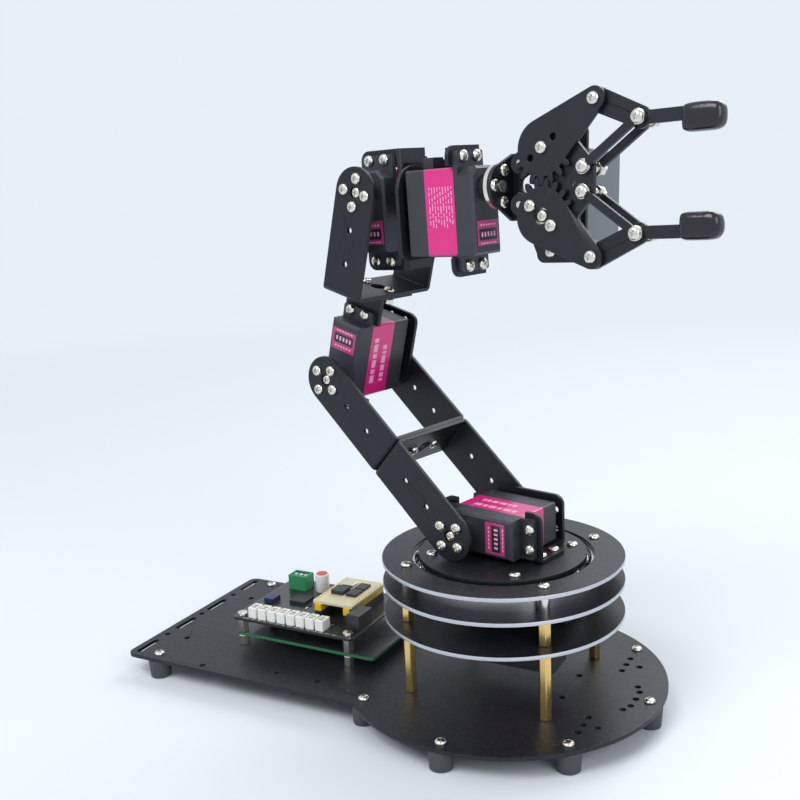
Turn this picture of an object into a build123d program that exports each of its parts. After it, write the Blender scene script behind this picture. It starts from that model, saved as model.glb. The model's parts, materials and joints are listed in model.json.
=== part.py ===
import os
from math import atan2, cos, degrees, hypot, pi, radians, sin, tan

from build123d import *

# A desktop robot arm with five turning joints and a geared gripper.
# Millimetres. +X runs along the base plate towards the turntable, +Z is up and the feet stand on
# z = 0. The arm is drawn in its own plane, standing over the turntable's axis, and is then turned
# about that axis and moved with the base so that the origin is the bottom centre of the whole.

# Clearances shared by all fits
SHAFT_GAP = 0.05
SLIP = 0.1
CASE_GAP = 0.7

# Rubber feet and base plate
FOOT_H = 10.0
FOOT_TOP_R = 6.4
FOOT_END_R = 5.6
BASE_T = 2.0
BASE_R = 81.9
BASE_TAIL = 201.5
BASE_HALF_W = 60.0
BASE_CORNER_R = 5.0
FOOT_CIRCLE_R = 75.6
FOOT_ANGLES = (-135, -90, -45, 0, 45, 90, 135)
TAIL_FOOT_X = -183.0
TAIL_FOOT_Y = 54.0
SLOT_X = -196.2
SLOT_LENGTH = 17.0
SLOT_W = 3.2
SLOT_Y = (-48.1, -14.6, 14.6, 48.1)
ROUND_Y = (-31.3, 0.0, 31.3)
HOLE_R = 1.6

# Three discs and their spacers
DISC_R = 60.6
DISC_T = 2.0
DISC_BOLT_R = 50.6
DISC_ANGLES = (-135, -45, 45, 135)
LONG_STANDOFF = 35.7
MID_STANDOFF = 14.6
STANDOFF_AF = 5.5
RING_SPACER_R = 2.7
RING_BORE_R = 45.5
SEAT_BORE_R = 43.5

# Thin-section bearing, 75 x 95 x 10
RACE_OUT_R = 47.5
RACE_IN_R = 37.5
RACE_W = 10.0
RACE_WALL = 3.2
BALL_R = 2.6
BALL_COUNT = 12
BALL_GAP = 0.1

# Turntable
TABLE_R = 42.0
TABLE_T = 3.0
CLAMP_T = 2.0
CLAMP_R = 40.6
CLAMP_BORE_R = 32.0
TABLE_BOLT_R = 35.6
HUB_R = 12.0
TABLE_FOOT_SPOTS = ((-15.5, 10.8), (-15.5, 21.5), (35.5, 10.8), (35.5, 21.5))
WAIST_REST = -12.6

# Hobby servo of the 20 kg class
CASE_L = 40.0
CASE_W = 20.0
CASE_H = 38.5
SHAFT_IN = 10.0
COVER_H = 11.0
FLANGE_Z = 28.0
FLANGE_T = 2.5
FLANGE_L = 54.6
FLANGE_HOLE_L = 49.5
FLANGE_HOLE_W = 10.0
CASE_EDGE_R = 1.2
BOSS_R = 5.5
BOSS_H = 1.4
SPLINE_R = 3.0
HORN_R = 10.0
HORN_T = 2.0
HORN_HUB_R = 4.6
HORN_TOP = 46.5
HORN_PCD = 14.0
BOOT_L = 5.5
BOOT_W = 8.0
BOOT_H = 6.0
BOOT_Y = 5.0
BOOT_Z = 5.0
NOSE_CHAMFER = 4.0
FLANGE_HOLE_R = 2.1

# Bent sheet brackets
SHEET_T = 2.0
BEND_R = 2.4
ARM_W = 56.0
ARM_R = 12.5
ARM_DEPTH = 52.93
ARM_HOLES = (18.95, 36.17)
WEB_HOLE_R = 4.0
WEB_BOLT = 8.0
HORN_HOLE_R = 3.2
EAR_HALF = 12.7
EAR_L = 59.5
EAR_CORNER_R = 5.0
BACK_WALL_X = 32.0
BACK_WALL_GAP = 3.0
FOOT_WIDE_Z = 8.0
FOOT_NARROW_X = -7.0
PIVOT_R = 1.5
BUSH_R = 4.0
END_WEB_X = 46.6
END_WEB_Z = 4.0
ARM_SWEEP = 0.0
ANGLE_LEG_A = 22.6
ANGLE_LEG_B = 34.0
ANGLE_SPOTS_A = ((6.0, -7.0), (6.0, 7.0), (15.0, -7.0), (15.0, 7.0))
ANGLE_SPOTS_B = ((24.0 + 10.0, -8.0), (24.0 + 10.0, 6.0), (42.5, -8.0), (42.5, 6.0))

# Where the arm's joints stand at rest, in the arm's plane
SHOULDER_X = -11.45
LINK_ANGLE = 138.59
FOREARM_ANGLE = 75.49
FOREARM_OFFSET = 2.4
WRIST_TILT = 2.4
ROLL_Y = -15.3
ROLL_Z = -1.9
ROLL_CASE_X = 31.2
ROLL_REST = -6.2

# Gripper, seen from the roll axis
FRAME_T = 2.0
TAB_R = 10.0
TAB_FLARE = 14.0
TAB_SPOTS = (90, 180, 270)
PLATE_T = 2.0
GEAR_Y = -8.0
LAYER_GAP = 0.4
BACK_LINK_Y = 3.0
PIVOT_X = 27.4
CENTRES = 28.8
MODULE = 1.6
TEETH = 18
PRESSURE = 20.0
BACKLASH = 0.12
ARM_LENGTH = 30.84
ARM_REST = 35.5
ARM_END_R = 5.1
LINK_X = 20.3
LINK_Z = 5.17
LINK_END_R = 3.2
LINK_W = 3.6
AXLE_R = 1.45
BAR_W = 5.4
BAR_Z = 22.8
TIP_X = 78.0
PAD_Z = 16.5
CAP_X = 64.0
CAP_END_X = 81.5
CAP_LOW_Z = 15.2
CAP_TOP_Z = 26.6
CAP_HALF_Y = 4.4
CAP_CORNER_R = 3.5
SLEEVE_R = 2.5
PLATE_LOBE_R = 12.6
NOSE_R = 4.3
COLUMN_X = -13.0
COLUMN_Z = 9.0
NECK_HALF = 15.0
NECK_HOLE_X = -17.5
HORN_SWEEP = 39.0
IDLER_SWEEP = 36.0
GEAR_EYE_R = 3.6

# Fasteners
HEAD_R = 2.8
HEAD_H = 1.9
SHANK_R = 1.4
NUT_R = 3.1
NUT_H = 2.4

# Control electronics on the tail of the base plate
BOARD_T = 1.6
LOWER_BOARD = (88.0, 66.0)
UPPER_BOARD = (77.0, 62.0)
BOARD_CENTRE = (-113.0, 3.0)
BOARD_LIFT = 6.0
UPPER_LIFT = 15.5
POST_DX = 34.0
POST_DY = 27.0
CONNECTOR_COUNT = 8

# Sizes worked out from the ones above
PLATE_TOP = FOOT_H + BASE_T
LOWER_Z = PLATE_TOP + LONG_STANDOFF
MIDDLE_Z = LOWER_Z + DISC_T + MID_STANDOFF
RING_Z = MIDDLE_Z + DISC_T + RACE_W + SLIP
TABLE_Z = MIDDLE_Z + DISC_T + RACE_W
TABLE_TOP = TABLE_Z + TABLE_T
SHOULDER_Z = TABLE_TOP + EAR_HALF
ARM_FACE = ARM_W / 2
ARM_INNER = ARM_FACE - SHEET_T
CASE_BACK_Y = HORN_TOP - ARM_INNER
SWING_GAP = 2 * ARM_INNER - HORN_TOP - BACK_WALL_GAP - SHEET_T
FLANGE_CENTRE = CASE_L / 2 - SHAFT_IN
GRIP_PLATE_Y = GEAR_Y + PLATE_T + LAYER_GAP
GRIP_FLOOR_Y = GEAR_Y + PLATE_T + HORN_TOP
FRAME_Y = GRIP_FLOOR_Y - FLANGE_Z - FLANGE_T - FRAME_T
WAIST_FLOOR = LOWER_Z + DISC_T - FLANGE_Z
WAIST = Rot(0, 0, WAIST_REST)


def arm_plane(x, z, angle):
    """Frame with x along a link at this angle, z towards the near side, y across the link."""
    a = radians(angle)
    return Plane(origin=(x, 0, z), x_dir=(cos(a), 0, sin(a)), z_dir=(0, -1, 0)).location


def polygon_post(radius, height, sides):
    return extrude(RegularPolygon(radius, sides), height)


def pan_screw(shank):
    """Screw along z with the underside of its head at z = 0."""
    head = polygon_post(HEAD_R, HEAD_H, 12)
    if shank <= 0:
        return head
    return head + Pos(0, 0, -shank) * polygon_post(SHANK_R, shank, 8)


def hex_nut():
    return polygon_post(NUT_R, NUT_H, 6)


def hex_standoff(height):
    return polygon_post(STANDOFF_AF / 2 / cos(pi / 6), height, 6)


def ring(outer, inner, height):
    return extrude(Circle(outer) - Circle(inner), height)


def around(radius, angles):
    return [(radius * cos(radians(a)), radius * sin(radians(a))) for a in angles]


def drill(part, points, radius, low, high):
    """Cut round holes along z through a part."""
    for x, y in points:
        part -= Pos(x, y, low) * extrude(Circle(radius), high - low)
    return part


def group(solids):
    """One node made of several separate solids."""
    return Compound(children=[s.solid() if isinstance(s, Part) else s for s in flat(solids)])


def flat(items):
    out = []
    for item in items:
        if isinstance(item, (list, tuple)):
            out += flat(item)
        else:
            out += list(item.solids())
    return out


# Base plate, feet and discs
def base_outline():
    tail = Pos(-BASE_TAIL / 2, 0) * Rectangle(BASE_TAIL, 2 * BASE_HALF_W)
    corners = [v for v in tail.vertices() if v.X < -BASE_TAIL / 2]
    return fillet(corners, BASE_CORNER_R) + Circle(BASE_R)


def foot_points():
    tail = [(TAIL_FOOT_X, -TAIL_FOOT_Y), (TAIL_FOOT_X, TAIL_FOOT_Y)]
    return around(FOOT_CIRCLE_R, FOOT_ANGLES) + tail


def base_hole_points():
    """Spare mounting holes, mirrored about the plate's centre line."""
    half = [(53.5, 26.5), (53.5, 34.0), (53.5, 41.5), (60.5, 34.0), (66.0, 12.5), (68.3, 7.5)]
    half += [(35.5, 12.7), (-84.8, 46.5), (-109.7, 46.6), (-152.0, 55.7), (-182.3, 31.0)]
    points = [(x, s * y) for x, y in half for s in (-1, 1)]
    return points + [(68.7, 0.0)] + [(SLOT_X, y) for y in ROUND_Y]


def base_plate():
    plate = extrude(base_outline(), BASE_T)
    points = foot_points() + base_hole_points() + around(DISC_BOLT_R, DISC_ANGLES)
    plate = drill(plate, points + board_posts(), HOLE_R, -1, BASE_T + 1)
    for y in SLOT_Y:
        slot = Pos(SLOT_X, y, -1) * Rot(0, 0, 90) * SlotOverall(SLOT_LENGTH, SLOT_W)
        plate -= extrude(slot, BASE_T + 2)
    return Pos(0, 0, FOOT_H) * plate


def rubber_foot():
    return loft([Circle(FOOT_END_R), Pos(0, 0, FOOT_H) * Circle(FOOT_TOP_R)])


def disc(bore):
    plate = extrude(Circle(DISC_R) - Circle(bore), DISC_T)
    return drill(plate, around(DISC_BOLT_R, DISC_ANGLES), HOLE_R, -1, DISC_T + 1)


def lower_disc():
    plate = extrude(Circle(DISC_R), DISC_T)
    plate = drill(plate, around(DISC_BOLT_R, DISC_ANGLES), HOLE_R, -1, DISC_T + 1)
    window = Pos(FLANGE_CENTRE, 0) * Rectangle(CASE_L + 0.6, CASE_W + 0.6)
    plate -= extrude(window, DISC_T)
    plate = drill(plate, flange_points(), HOLE_R, -1, DISC_T + 1)
    return Pos(0, 0, LOWER_Z) * plate


# Bearing between the middle disc and the top ring
def race_section(low, high):
    pitch = (RACE_OUT_R + RACE_IN_R) / 2
    groove = Pos(pitch, RACE_W / 2) * Circle(BALL_R + BALL_GAP)
    return Pos((low + high) / 2, RACE_W / 2) * Rectangle(high - low, RACE_W) - groove


def bearing_race(low, high):
    section = Plane.XZ * race_section(low, high)
    return Pos(0, 0, MIDDLE_Z + DISC_T) * revolve(section, Axis.Z)


def bearing_balls():
    pitch = (RACE_OUT_R + RACE_IN_R) / 2
    z = MIDDLE_Z + DISC_T + RACE_W / 2
    spots = around(pitch, [360 / BALL_COUNT * k for k in range(BALL_COUNT)])
    return [Pos(x, y, z) * Sphere(BALL_R) for x, y in spots]


# Servo parts, drawn with the output shaft along z and the case floor at z = 0
def case_block(low, high):
    block = Pos(FLANGE_CENTRE, 0, low) * extrude(Rectangle(CASE_L, CASE_W), high - low)
    return fillet(block.edges().filter_by(Axis.Z), CASE_EDGE_R)


def flange_points():
    x = [FLANGE_CENTRE - FLANGE_HOLE_L / 2, FLANGE_CENTRE + FLANGE_HOLE_L / 2]
    return [(a, s * FLANGE_HOLE_W / 2) for a in x for s in (-1, 1)]


def servo_covers():
    """Bottom cover with the lead's boot, and top cover with the mounting flange."""
    bottom = case_block(0, COVER_H)
    bottom += Pos(-SHAFT_IN - BOOT_L / 2, BOOT_Y, BOOT_Z) * Box(BOOT_L, BOOT_W, BOOT_H)
    flange = extrude(Pos(FLANGE_CENTRE, 0) * Rectangle(FLANGE_L, CASE_W), FLANGE_T)
    flange = Pos(0, 0, FLANGE_Z) * fillet(flange.edges().filter_by(Axis.Z), CASE_EDGE_R)
    outline = Pos(FLANGE_CENTRE, 0) * Rectangle(CASE_L, CASE_W)
    outline = chamfer([v for v in outline.vertices() if v.X < 0], NOSE_CHAMFER)
    upper = Pos(0, 0, FLANGE_Z) * extrude(outline, CASE_H - FLANGE_Z)
    upper = chamfer(upper.faces().sort_by(Axis.Z)[-1].edges(), CASE_EDGE_R)
    top = drill(flange + upper, flange_points(), FLANGE_HOLE_R, FLANGE_Z - 1, FLANGE_Z + FLANGE_T + 1)
    top += Pos(0, 0, CASE_H) * extrude(Circle(BOSS_R), BOSS_H)
    top -= Pos(0, 0, CASE_H - 2) * extrude(Circle(SPLINE_R + SHAFT_GAP), BOSS_H + 3)
    return [bottom, top]


def servo_housing():
    return case_block(COVER_H, FLANGE_Z)


def servo_horn(sweep=0):
    """Output disc with its hub and the stub of the splined shaft."""
    face = HORN_TOP - HORN_T
    horn = Pos(0, 0, face) * extrude(Circle(HORN_R), HORN_T)
    horn += Pos(0, 0, CASE_H + BOSS_H + 0.4) * extrude(Circle(HORN_HUB_R), face - CASE_H - BOSS_H - 0.4)
    horn += Pos(0, 0, CASE_H - 1.5) * extrude(Circle(SPLINE_R), BOSS_H + 2.2)
    spots = around(HORN_PCD / 2, [sweep + 90 * k for k in range(4)])
    return drill(horn, spots, HOLE_R, face - 1, HORN_TOP + 1)


def horn_screws(sweep=0, thick=SHEET_T):
    """Four screws through a sheet into the horn, and one on the horn's centre."""
    spots = around(HORN_PCD / 2, [sweep + 90 * k for k in range(4)])
    screws = [Pos(x, y, HORN_TOP + thick) * pan_screw(thick + HORN_T - 0.2) for x, y in spots]
    return screws + [Pos(0, 0, HORN_TOP) * pan_screw(0)]


def flange_screws():
    """Screws through the flange into the ears behind it."""
    return [Pos(x, y, FLANGE_Z + FLANGE_T) * pan_screw(FLANGE_T + SHEET_T) for x, y in flange_points()]


# Bent sheet brackets
def u_bracket(horn_sweep):
    """Long U: origin on the joint, x towards the web, z = +/-ARM_FACE at the arms' outer faces."""
    length = ARM_DEPTH + ARM_R
    mid = (ARM_DEPTH - ARM_R) / 2
    outer = Pos(mid, 0) * Rectangle(length, ARM_W)
    outer = fillet([v for v in outer.vertices() if v.X > 0], BEND_R)
    inner = Pos(mid - SHEET_T, 0) * Rectangle(length, ARM_W - 2 * SHEET_T)
    inner = fillet([v for v in inner.vertices() if v.X > 0], BEND_R - SHEET_T)
    sheet = extrude(Plane.XZ * (outer - inner), ARM_R, both=True)
    outline = Circle(ARM_R) + Pos(ARM_DEPTH / 2, 0) * Rectangle(ARM_DEPTH, 2 * ARM_R)
    part = sheet & extrude(outline, ARM_FACE + 1, both=True)
    small = [(x, 0) for x in ARM_HOLES]
    part = drill(part, small, PIVOT_R, -ARM_FACE - 1, ARM_FACE + 1)
    horn_holes = around(HORN_PCD / 2, [horn_sweep + 90 * k for k in range(4)])
    part = drill(part, horn_holes, HOLE_R, 0, ARM_FACE + 1)
    part = drill(part, [(0, 0)], HORN_HOLE_R, 0, ARM_FACE + 1)
    part = drill(part, [(0, 0)], BUSH_R, -ARM_FACE - 1, 0)
    return part


def web_holes(across):
    """Cutters for a web's large centre hole and its two bolts, along y or across it."""
    spots = [(across * WEB_BOLT, (1 - across) * WEB_BOLT), (-across * WEB_BOLT, (across - 1) * WEB_BOLT)]
    cut = [Pos(0, *p) * Rot(0, 90, 0) * Cylinder(HOLE_R, 3 * SHEET_T) for p in spots]
    cut.append(Rot(0, 90, 0) * Cylinder(WEB_HOLE_R, 3 * SHEET_T))
    return Pos(ARM_DEPTH, 0, 0) * Compound(children=[c.solid() for c in cut])


def web_bolts(across):
    """Two bolts with nuts through a U bracket's web and the sheet behind it."""
    out = []
    for s in (1, -1):
        place = Pos(ARM_DEPTH, s * across * WEB_BOLT, s * (1 - across) * WEB_BOLT)
        out.append(place * Pos(-SHEET_T, 0, 0) * Rot(0, -90, 0) * pan_screw(2 * SHEET_T + NUT_H))
        nut = hex_nut() - extrude(Circle(SHANK_R), NUT_H)
        out.append(place * Pos(SHEET_T, 0, 0) * Rot(0, 90, 0) * nut)
    return out


def pivot_bush():
    """Flanged bush in a U bracket's far arm, around the pivot screw."""
    bush = Pos(0, 0, -ARM_FACE) * ring(BUSH_R, PIVOT_R + SHAFT_GAP, SHEET_T)
    return bush


def pivot_screw():
    """Screw on the joint's axis, held by the servo bracket's back wall."""
    head = Pos(0, 0, -ARM_FACE - 0.3 - HEAD_H) * polygon_post(HEAD_R, HEAD_H, 12)
    shank = Pos(0, 0, -ARM_FACE - 0.3) * extrude(Circle(PIVOT_R), 0.3 + 2 * SHEET_T + SWING_GAP)
    return head + shank


def servo_bracket(web=False):
    """Servo bracket in the servo's own frame, with its foot on the +y side.

    Two ears stand behind the servo's flange, a back wall carries the pivot screw, and the foot
    joins them. With a web, the foot and far ear run on and turn over the end of the servo.
    """
    x0 = FLANGE_CENTRE - EAR_L / 2
    x1 = END_WEB_X if web else FLANGE_CENTRE + EAR_L / 2
    low = -BACK_WALL_GAP - SHEET_T
    high = FLANGE_Z - low
    outer = Rectangle(2 * EAR_HALF, high)
    outer = fillet([v for v in outer.vertices() if v.X > 0], BEND_R)
    inner = Pos(-SHEET_T, 0) * Rectangle(2 * EAR_HALF, high - 2 * SHEET_T)
    inner = fillet([v for v in inner.vertices() if v.X > 0], BEND_R - SHEET_T)
    side = Plane(origin=(x0, 0, (FLANGE_Z + low) / 2), x_dir=(0, 1, 0), z_dir=(1, 0, 0))
    part = extrude(side * (outer - inner), x1 - x0)
    window_w = EAR_HALF + CASE_W / 2 + CASE_GAP
    window = Pos(FLANGE_CENTRE, window_w / 2 - EAR_HALF) * Rectangle(CASE_L + 2 * CASE_GAP, window_w)
    part -= Pos(0, 0, FLANGE_Z - SHEET_T) * extrude(window, SHEET_T)
    part -= round_ears([x0] if web else [x0, x1])
    part -= Pos(0, 0, low) * extrude(Pos(FLANGE_CENTRE, 0) * Rectangle(4 * EAR_L, 4 * EAR_HALF)
                                     - wall_outline(), FOOT_WIDE_Z - low)
    if web:
        size = (SHEET_T, 2 * EAR_HALF, FLANGE_Z - END_WEB_Z)
        wall = Pos(END_WEB_X - SHEET_T / 2, 0, (FLANGE_Z + END_WEB_Z) / 2) * Box(*size)
        part += wall
    part = drill(part, flange_points(), HOLE_R, FLANGE_Z - 3, FLANGE_Z + 1)
    spare = [(BACK_WALL_X - 4, 5), (BACK_WALL_X - 4, -5)]
    part = drill(part, spare, HOLE_R, low - 1, low + SHEET_T + 1)
    return drill(part, [(0, 0)], PIVOT_R, low - 1, low + SHEET_T + 1)


def wall_outline():
    """Outline of the back wall: round about the pivot, square at the other end."""
    wall = Pos(BACK_WALL_X / 2, 0) * Rectangle(BACK_WALL_X, 2 * EAR_HALF)
    wall = fillet([v for v in wall.vertices() if v.X > 1 and v.Y < 0], EAR_CORNER_R)
    root = Pos((BACK_WALL_X + FOOT_NARROW_X) / 2, EAR_HALF - BEND_R) * Rectangle(
        BACK_WALL_X - FOOT_NARROW_X, 2 * BEND_R)
    return Circle(EAR_HALF) + wall + root


def round_ears(ends):
    """Cutters that round the free corners of the ears."""
    cut = []
    for x in ends:
        s = 1 if x < 0 else -1
        corner = Pos(x + s * EAR_CORNER_R / 2, EAR_CORNER_R / 2 - EAR_HALF) * Rectangle(
            EAR_CORNER_R, EAR_CORNER_R)
        corner -= Pos(x + s * EAR_CORNER_R, EAR_CORNER_R - EAR_HALF) * Circle(EAR_CORNER_R)
        cut.append(Pos(0, 0, FLANGE_Z - SHEET_T) * extrude(corner, SHEET_T))
    return Compound(children=[c.solid() for c in cut])


def foot_holes(part, spots):
    """Cut holes through a servo bracket's foot at (x, z) spots."""
    for x, z in spots:
        part -= Pos(x, EAR_HALF, z) * Rot(90, 0, 0) * Cylinder(HOLE_R, 3 * SHEET_T)
    return part


# Gripper plates: drawn with x forwards and y up, z towards the near side
def grip_layer(y):
    return Plane(origin=(PIVOT_X, y, 0), x_dir=(1, 0, 0), z_dir=(0, -1, 0)).location


def bar_outline(x1, y1, r1, x2, y2, r2):
    """Two round ends joined by their outer tangents."""
    d = hypot(x2 - x1, y2 - y1)
    turn = atan2(y2 - y1, x2 - x1)
    spread = atan2((d * d - (r1 - r2) ** 2) ** 0.5, r1 - r2)
    corners = []
    for x, y, r, s in ((x1, y1, r1, -1), (x2, y2, r2, -1), (x2, y2, r2, 1), (x1, y1, r1, 1)):
        corners.append((x + r * cos(turn + s * spread), y + r * sin(turn + s * spread)))
    ends = Pos(x1, y1) * Circle(r1) + Pos(x2, y2) * Circle(r2)
    return ends + Polygon(*corners, align=None)


def tooth(centre_angle):
    """One involute tooth of the gear plates, as a polygon about the gear's centre."""
    pitch_r = MODULE * TEETH / 2
    base_r = pitch_r * cos(radians(PRESSURE))
    tip_r = pitch_r + MODULE
    root_r = pitch_r - 1.25 * MODULE
    half = (pi * MODULE / 2 - BACKLASH / 2) / 2 / pitch_r
    inv_pitch = tan(radians(PRESSURE)) - radians(PRESSURE)
    flank = [(root_r - 0.5, half + inv_pitch)]
    for k in range(5):
        r = base_r + (tip_r - base_r) * k / 4
        roll = (r * r / base_r / base_r - 1) ** 0.5
        flank.append((r, half + inv_pitch - (roll - atan2(roll, 1))))
    mid = radians(centre_angle)
    right = [(r * cos(mid - t), r * sin(mid - t)) for r, t in flank]
    left = [(r * cos(mid + t), r * sin(mid + t)) for r, t in reversed(flank)]
    return Polygon(*right, *left, align=None)


def gear_arm(side, first):
    """Toothed sector with its arm, centred on the gear; side is 1 above and -1 below."""
    a = radians(ARM_REST)
    end = (ARM_LENGTH * cos(a), side * ARM_LENGTH * sin(a))
    root_r = MODULE * (TEETH / 2 - 1.25)
    outline = bar_outline(0, 0, root_r, *end, ARM_END_R)
    for k in range(7):
        outline += tooth(side * (first - 360 / TEETH * k))
    outline -= Pos(*end) * Circle(AXLE_R)
    return outline


def spots_to_holes(outline, spots, radius):
    for x, y in spots:
        outline -= Pos(x, y) * Circle(radius)
    return outline


def arm_end(side):
    """Hinge between a gear arm and its finger."""
    a = radians(ARM_REST)
    return ARM_LENGTH * cos(a), side * (CENTRES / 2 + ARM_LENGTH * sin(a))


def link_end(side):
    """Hinge between an inner link and its finger."""
    a = radians(ARM_REST)
    return LINK_X + ARM_LENGTH * cos(a), side * (LINK_Z + ARM_LENGTH * sin(a))


def drive_gear_arm():
    outline = gear_arm(-1, -20)
    sweep = radians(HORN_SWEEP)
    holes = [(s * HORN_PCD / 2 * cos(sweep), -s * HORN_PCD / 2 * sin(sweep)) for s in (1, -1)]
    outline = spots_to_holes(outline, holes, HOLE_R) - Circle(GEAR_EYE_R)
    plate = grip_layer(GEAR_Y + PLATE_T) * Pos(0, -CENTRES / 2) * extrude(outline, PLATE_T)
    screws = [Pos(x, y, PLATE_T) * pan_screw(PLATE_T + HORN_T - 0.2) for x, y in holes] + [pan_screw(0)]
    screws = [grip_layer(GEAR_Y + PLATE_T) * Pos(0, -CENTRES / 2) * s for s in screws]
    return [plate] + screws + axle(*arm_end(-1), GRIP_PLATE_Y + PLATE_T, GEAR_Y)


def idler_gear_arm():
    outline = gear_arm(1, -30)
    sweep = radians(IDLER_SWEEP)
    holes = [(s * HORN_PCD / 2 * cos(sweep), s * HORN_PCD / 2 * sin(sweep)) for s in (1, -1)]
    outline = spots_to_holes(outline, holes, HOLE_R) - Circle(AXLE_R + SHAFT_GAP)
    plate = grip_layer(GEAR_Y + PLATE_T) * Pos(0, CENTRES / 2) * extrude(outline, PLATE_T)
    return [plate] + axle(*arm_end(1), GRIP_PLATE_Y + PLATE_T, GEAR_Y)


def axle(x, z, back, front):
    """Screw along y with its head on the near face at front and a nut behind back."""
    shank = grip_layer(back + NUT_H) * Pos(x, z) * extrude(Circle(AXLE_R), back + NUT_H - front)
    head = grip_layer(front) * Pos(x, z) * polygon_post(HEAD_R, HEAD_H, 12)
    nut = grip_layer(back + SLIP + NUT_H) * Pos(x, z) * polygon_post(NUT_R, NUT_H, 6)
    return [shank + head + nut]


def finger(side):
    """Flat finger: the hinged root, a straight bar and the wider tip pad."""
    tx, tz = arm_end(side)
    fx, fz = link_end(side)
    outline = bar_outline(tx, tz, ARM_END_R, fx, fz, ARM_END_R - 0.5)
    bar = Pos((fx + TIP_X) / 2, side * BAR_Z) * Rectangle(TIP_X - fx, BAR_W)
    pad_h = BAR_Z + BAR_W / 2 - PAD_Z
    pad = Pos((CAP_X + 3 + TIP_X) / 2, side * (PAD_Z + pad_h / 2)) * Rectangle(TIP_X - CAP_X - 3, pad_h)
    outline = outline + bar + pad
    outline = spots_to_holes(outline, [(tx, tz), (fx, fz)], AXLE_R + SHAFT_GAP)
    return grip_layer(GRIP_PLATE_Y + PLATE_T) * extrude(outline, PLATE_T)


def tip_cap(side):
    """Rubber cap over a finger's tip."""
    high = CAP_TOP_Z - CAP_LOW_Z
    block = Pos((CAP_X + CAP_END_X) / 2, side * (CAP_LOW_Z + high / 2)) * Rectangle(CAP_END_X - CAP_X, high)
    block = fillet([v for v in block.vertices() if v.X > CAP_X + 1], CAP_CORNER_R)
    cap = extrude(block, CAP_HALF_Y, both=True)
    cap = chamfer(cap.faces().sort_by(Axis.Z)[-1].edges(), 1.2)
    cap = chamfer(cap.faces().sort_by(Axis.Z)[0].edges(), 1.2)
    return grip_layer(GRIP_PLATE_Y + PLATE_T / 2) * cap - finger(side)


def link(side):
    """Inner link pair with its hinge screw to the finger."""
    x0, z0 = LINK_X, side * LINK_Z
    x1, z1 = link_end(side)
    outline = bar_outline(x0, z0, LINK_W / 2, x1, z1, LINK_W / 2)
    outline += Pos(x0, z0) * Circle(LINK_END_R) + Pos(x1, z1) * Circle(LINK_END_R)
    outline -= Pos(x0, z0) * Circle(AXLE_R + SHAFT_GAP)
    front = grip_layer(GEAR_Y + PLATE_T) * extrude(outline, PLATE_T)
    back = grip_layer(BACK_LINK_Y + PLATE_T) * extrude(outline, PLATE_T)
    shank_from = BACK_LINK_Y + PLATE_T + NUT_H
    shank = grip_layer(shank_from) * Pos(x1, z1) * extrude(Circle(AXLE_R), shank_from - GEAR_Y)
    head = grip_layer(GEAR_Y) * Pos(x1, z1) * polygon_post(HEAD_R, HEAD_H, 12)
    nut = grip_layer(shank_from) * Pos(x1, z1) * polygon_post(NUT_R, NUT_H, 6)
    gap = BACK_LINK_Y - GRIP_PLATE_Y - PLATE_T - LAYER_GAP
    sleeve = grip_layer(BACK_LINK_Y) * Pos(x1, z1) * extrude(Circle(SLEEVE_R), gap)
    return front + back + shank + head + nut + sleeve


def front_plate():
    """Plate behind the gears that carries the idler and both inner links."""
    hub = Pos(0, CENTRES / 2) * Circle(PLATE_LOBE_R) + Pos(0, -CENTRES / 2) * Circle(PLATE_LOBE_R)
    nose = bar_outline(LINK_X, LINK_Z, NOSE_R, 11.0, 14.0, 5.2)
    nose += bar_outline(LINK_X, -LINK_Z, NOSE_R, 11.0, -14.0, 5.2)
    nose += bar_outline(LINK_X, LINK_Z, NOSE_R, LINK_X, -LINK_Z, NOSE_R)
    nose += Pos(14.0, 0) * Rectangle(13.0, 22.0)
    lobes = bar_outline(COLUMN_X, COLUMN_Z, 4.5, -4.0, 14.0, 5.5)
    lobes += bar_outline(COLUMN_X, -COLUMN_Z, 4.5, -4.0, -14.0, 5.5)
    outline = hub + nose + lobes
    outline -= Pos(0, -CENTRES / 2) * Circle(HORN_R + 0.7)
    outline = spots_to_holes(outline, [(14.6, -1.1)], 1.2)
    axles = [(0, CENTRES / 2), (LINK_X, LINK_Z), (LINK_X, -LINK_Z)]
    columns = [(COLUMN_X, COLUMN_Z), (COLUMN_X, -COLUMN_Z)]
    outline = spots_to_holes(outline, axles + columns, AXLE_R)
    return grip_layer(GRIP_PLATE_Y + PLATE_T) * extrude(outline, PLATE_T)


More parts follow.
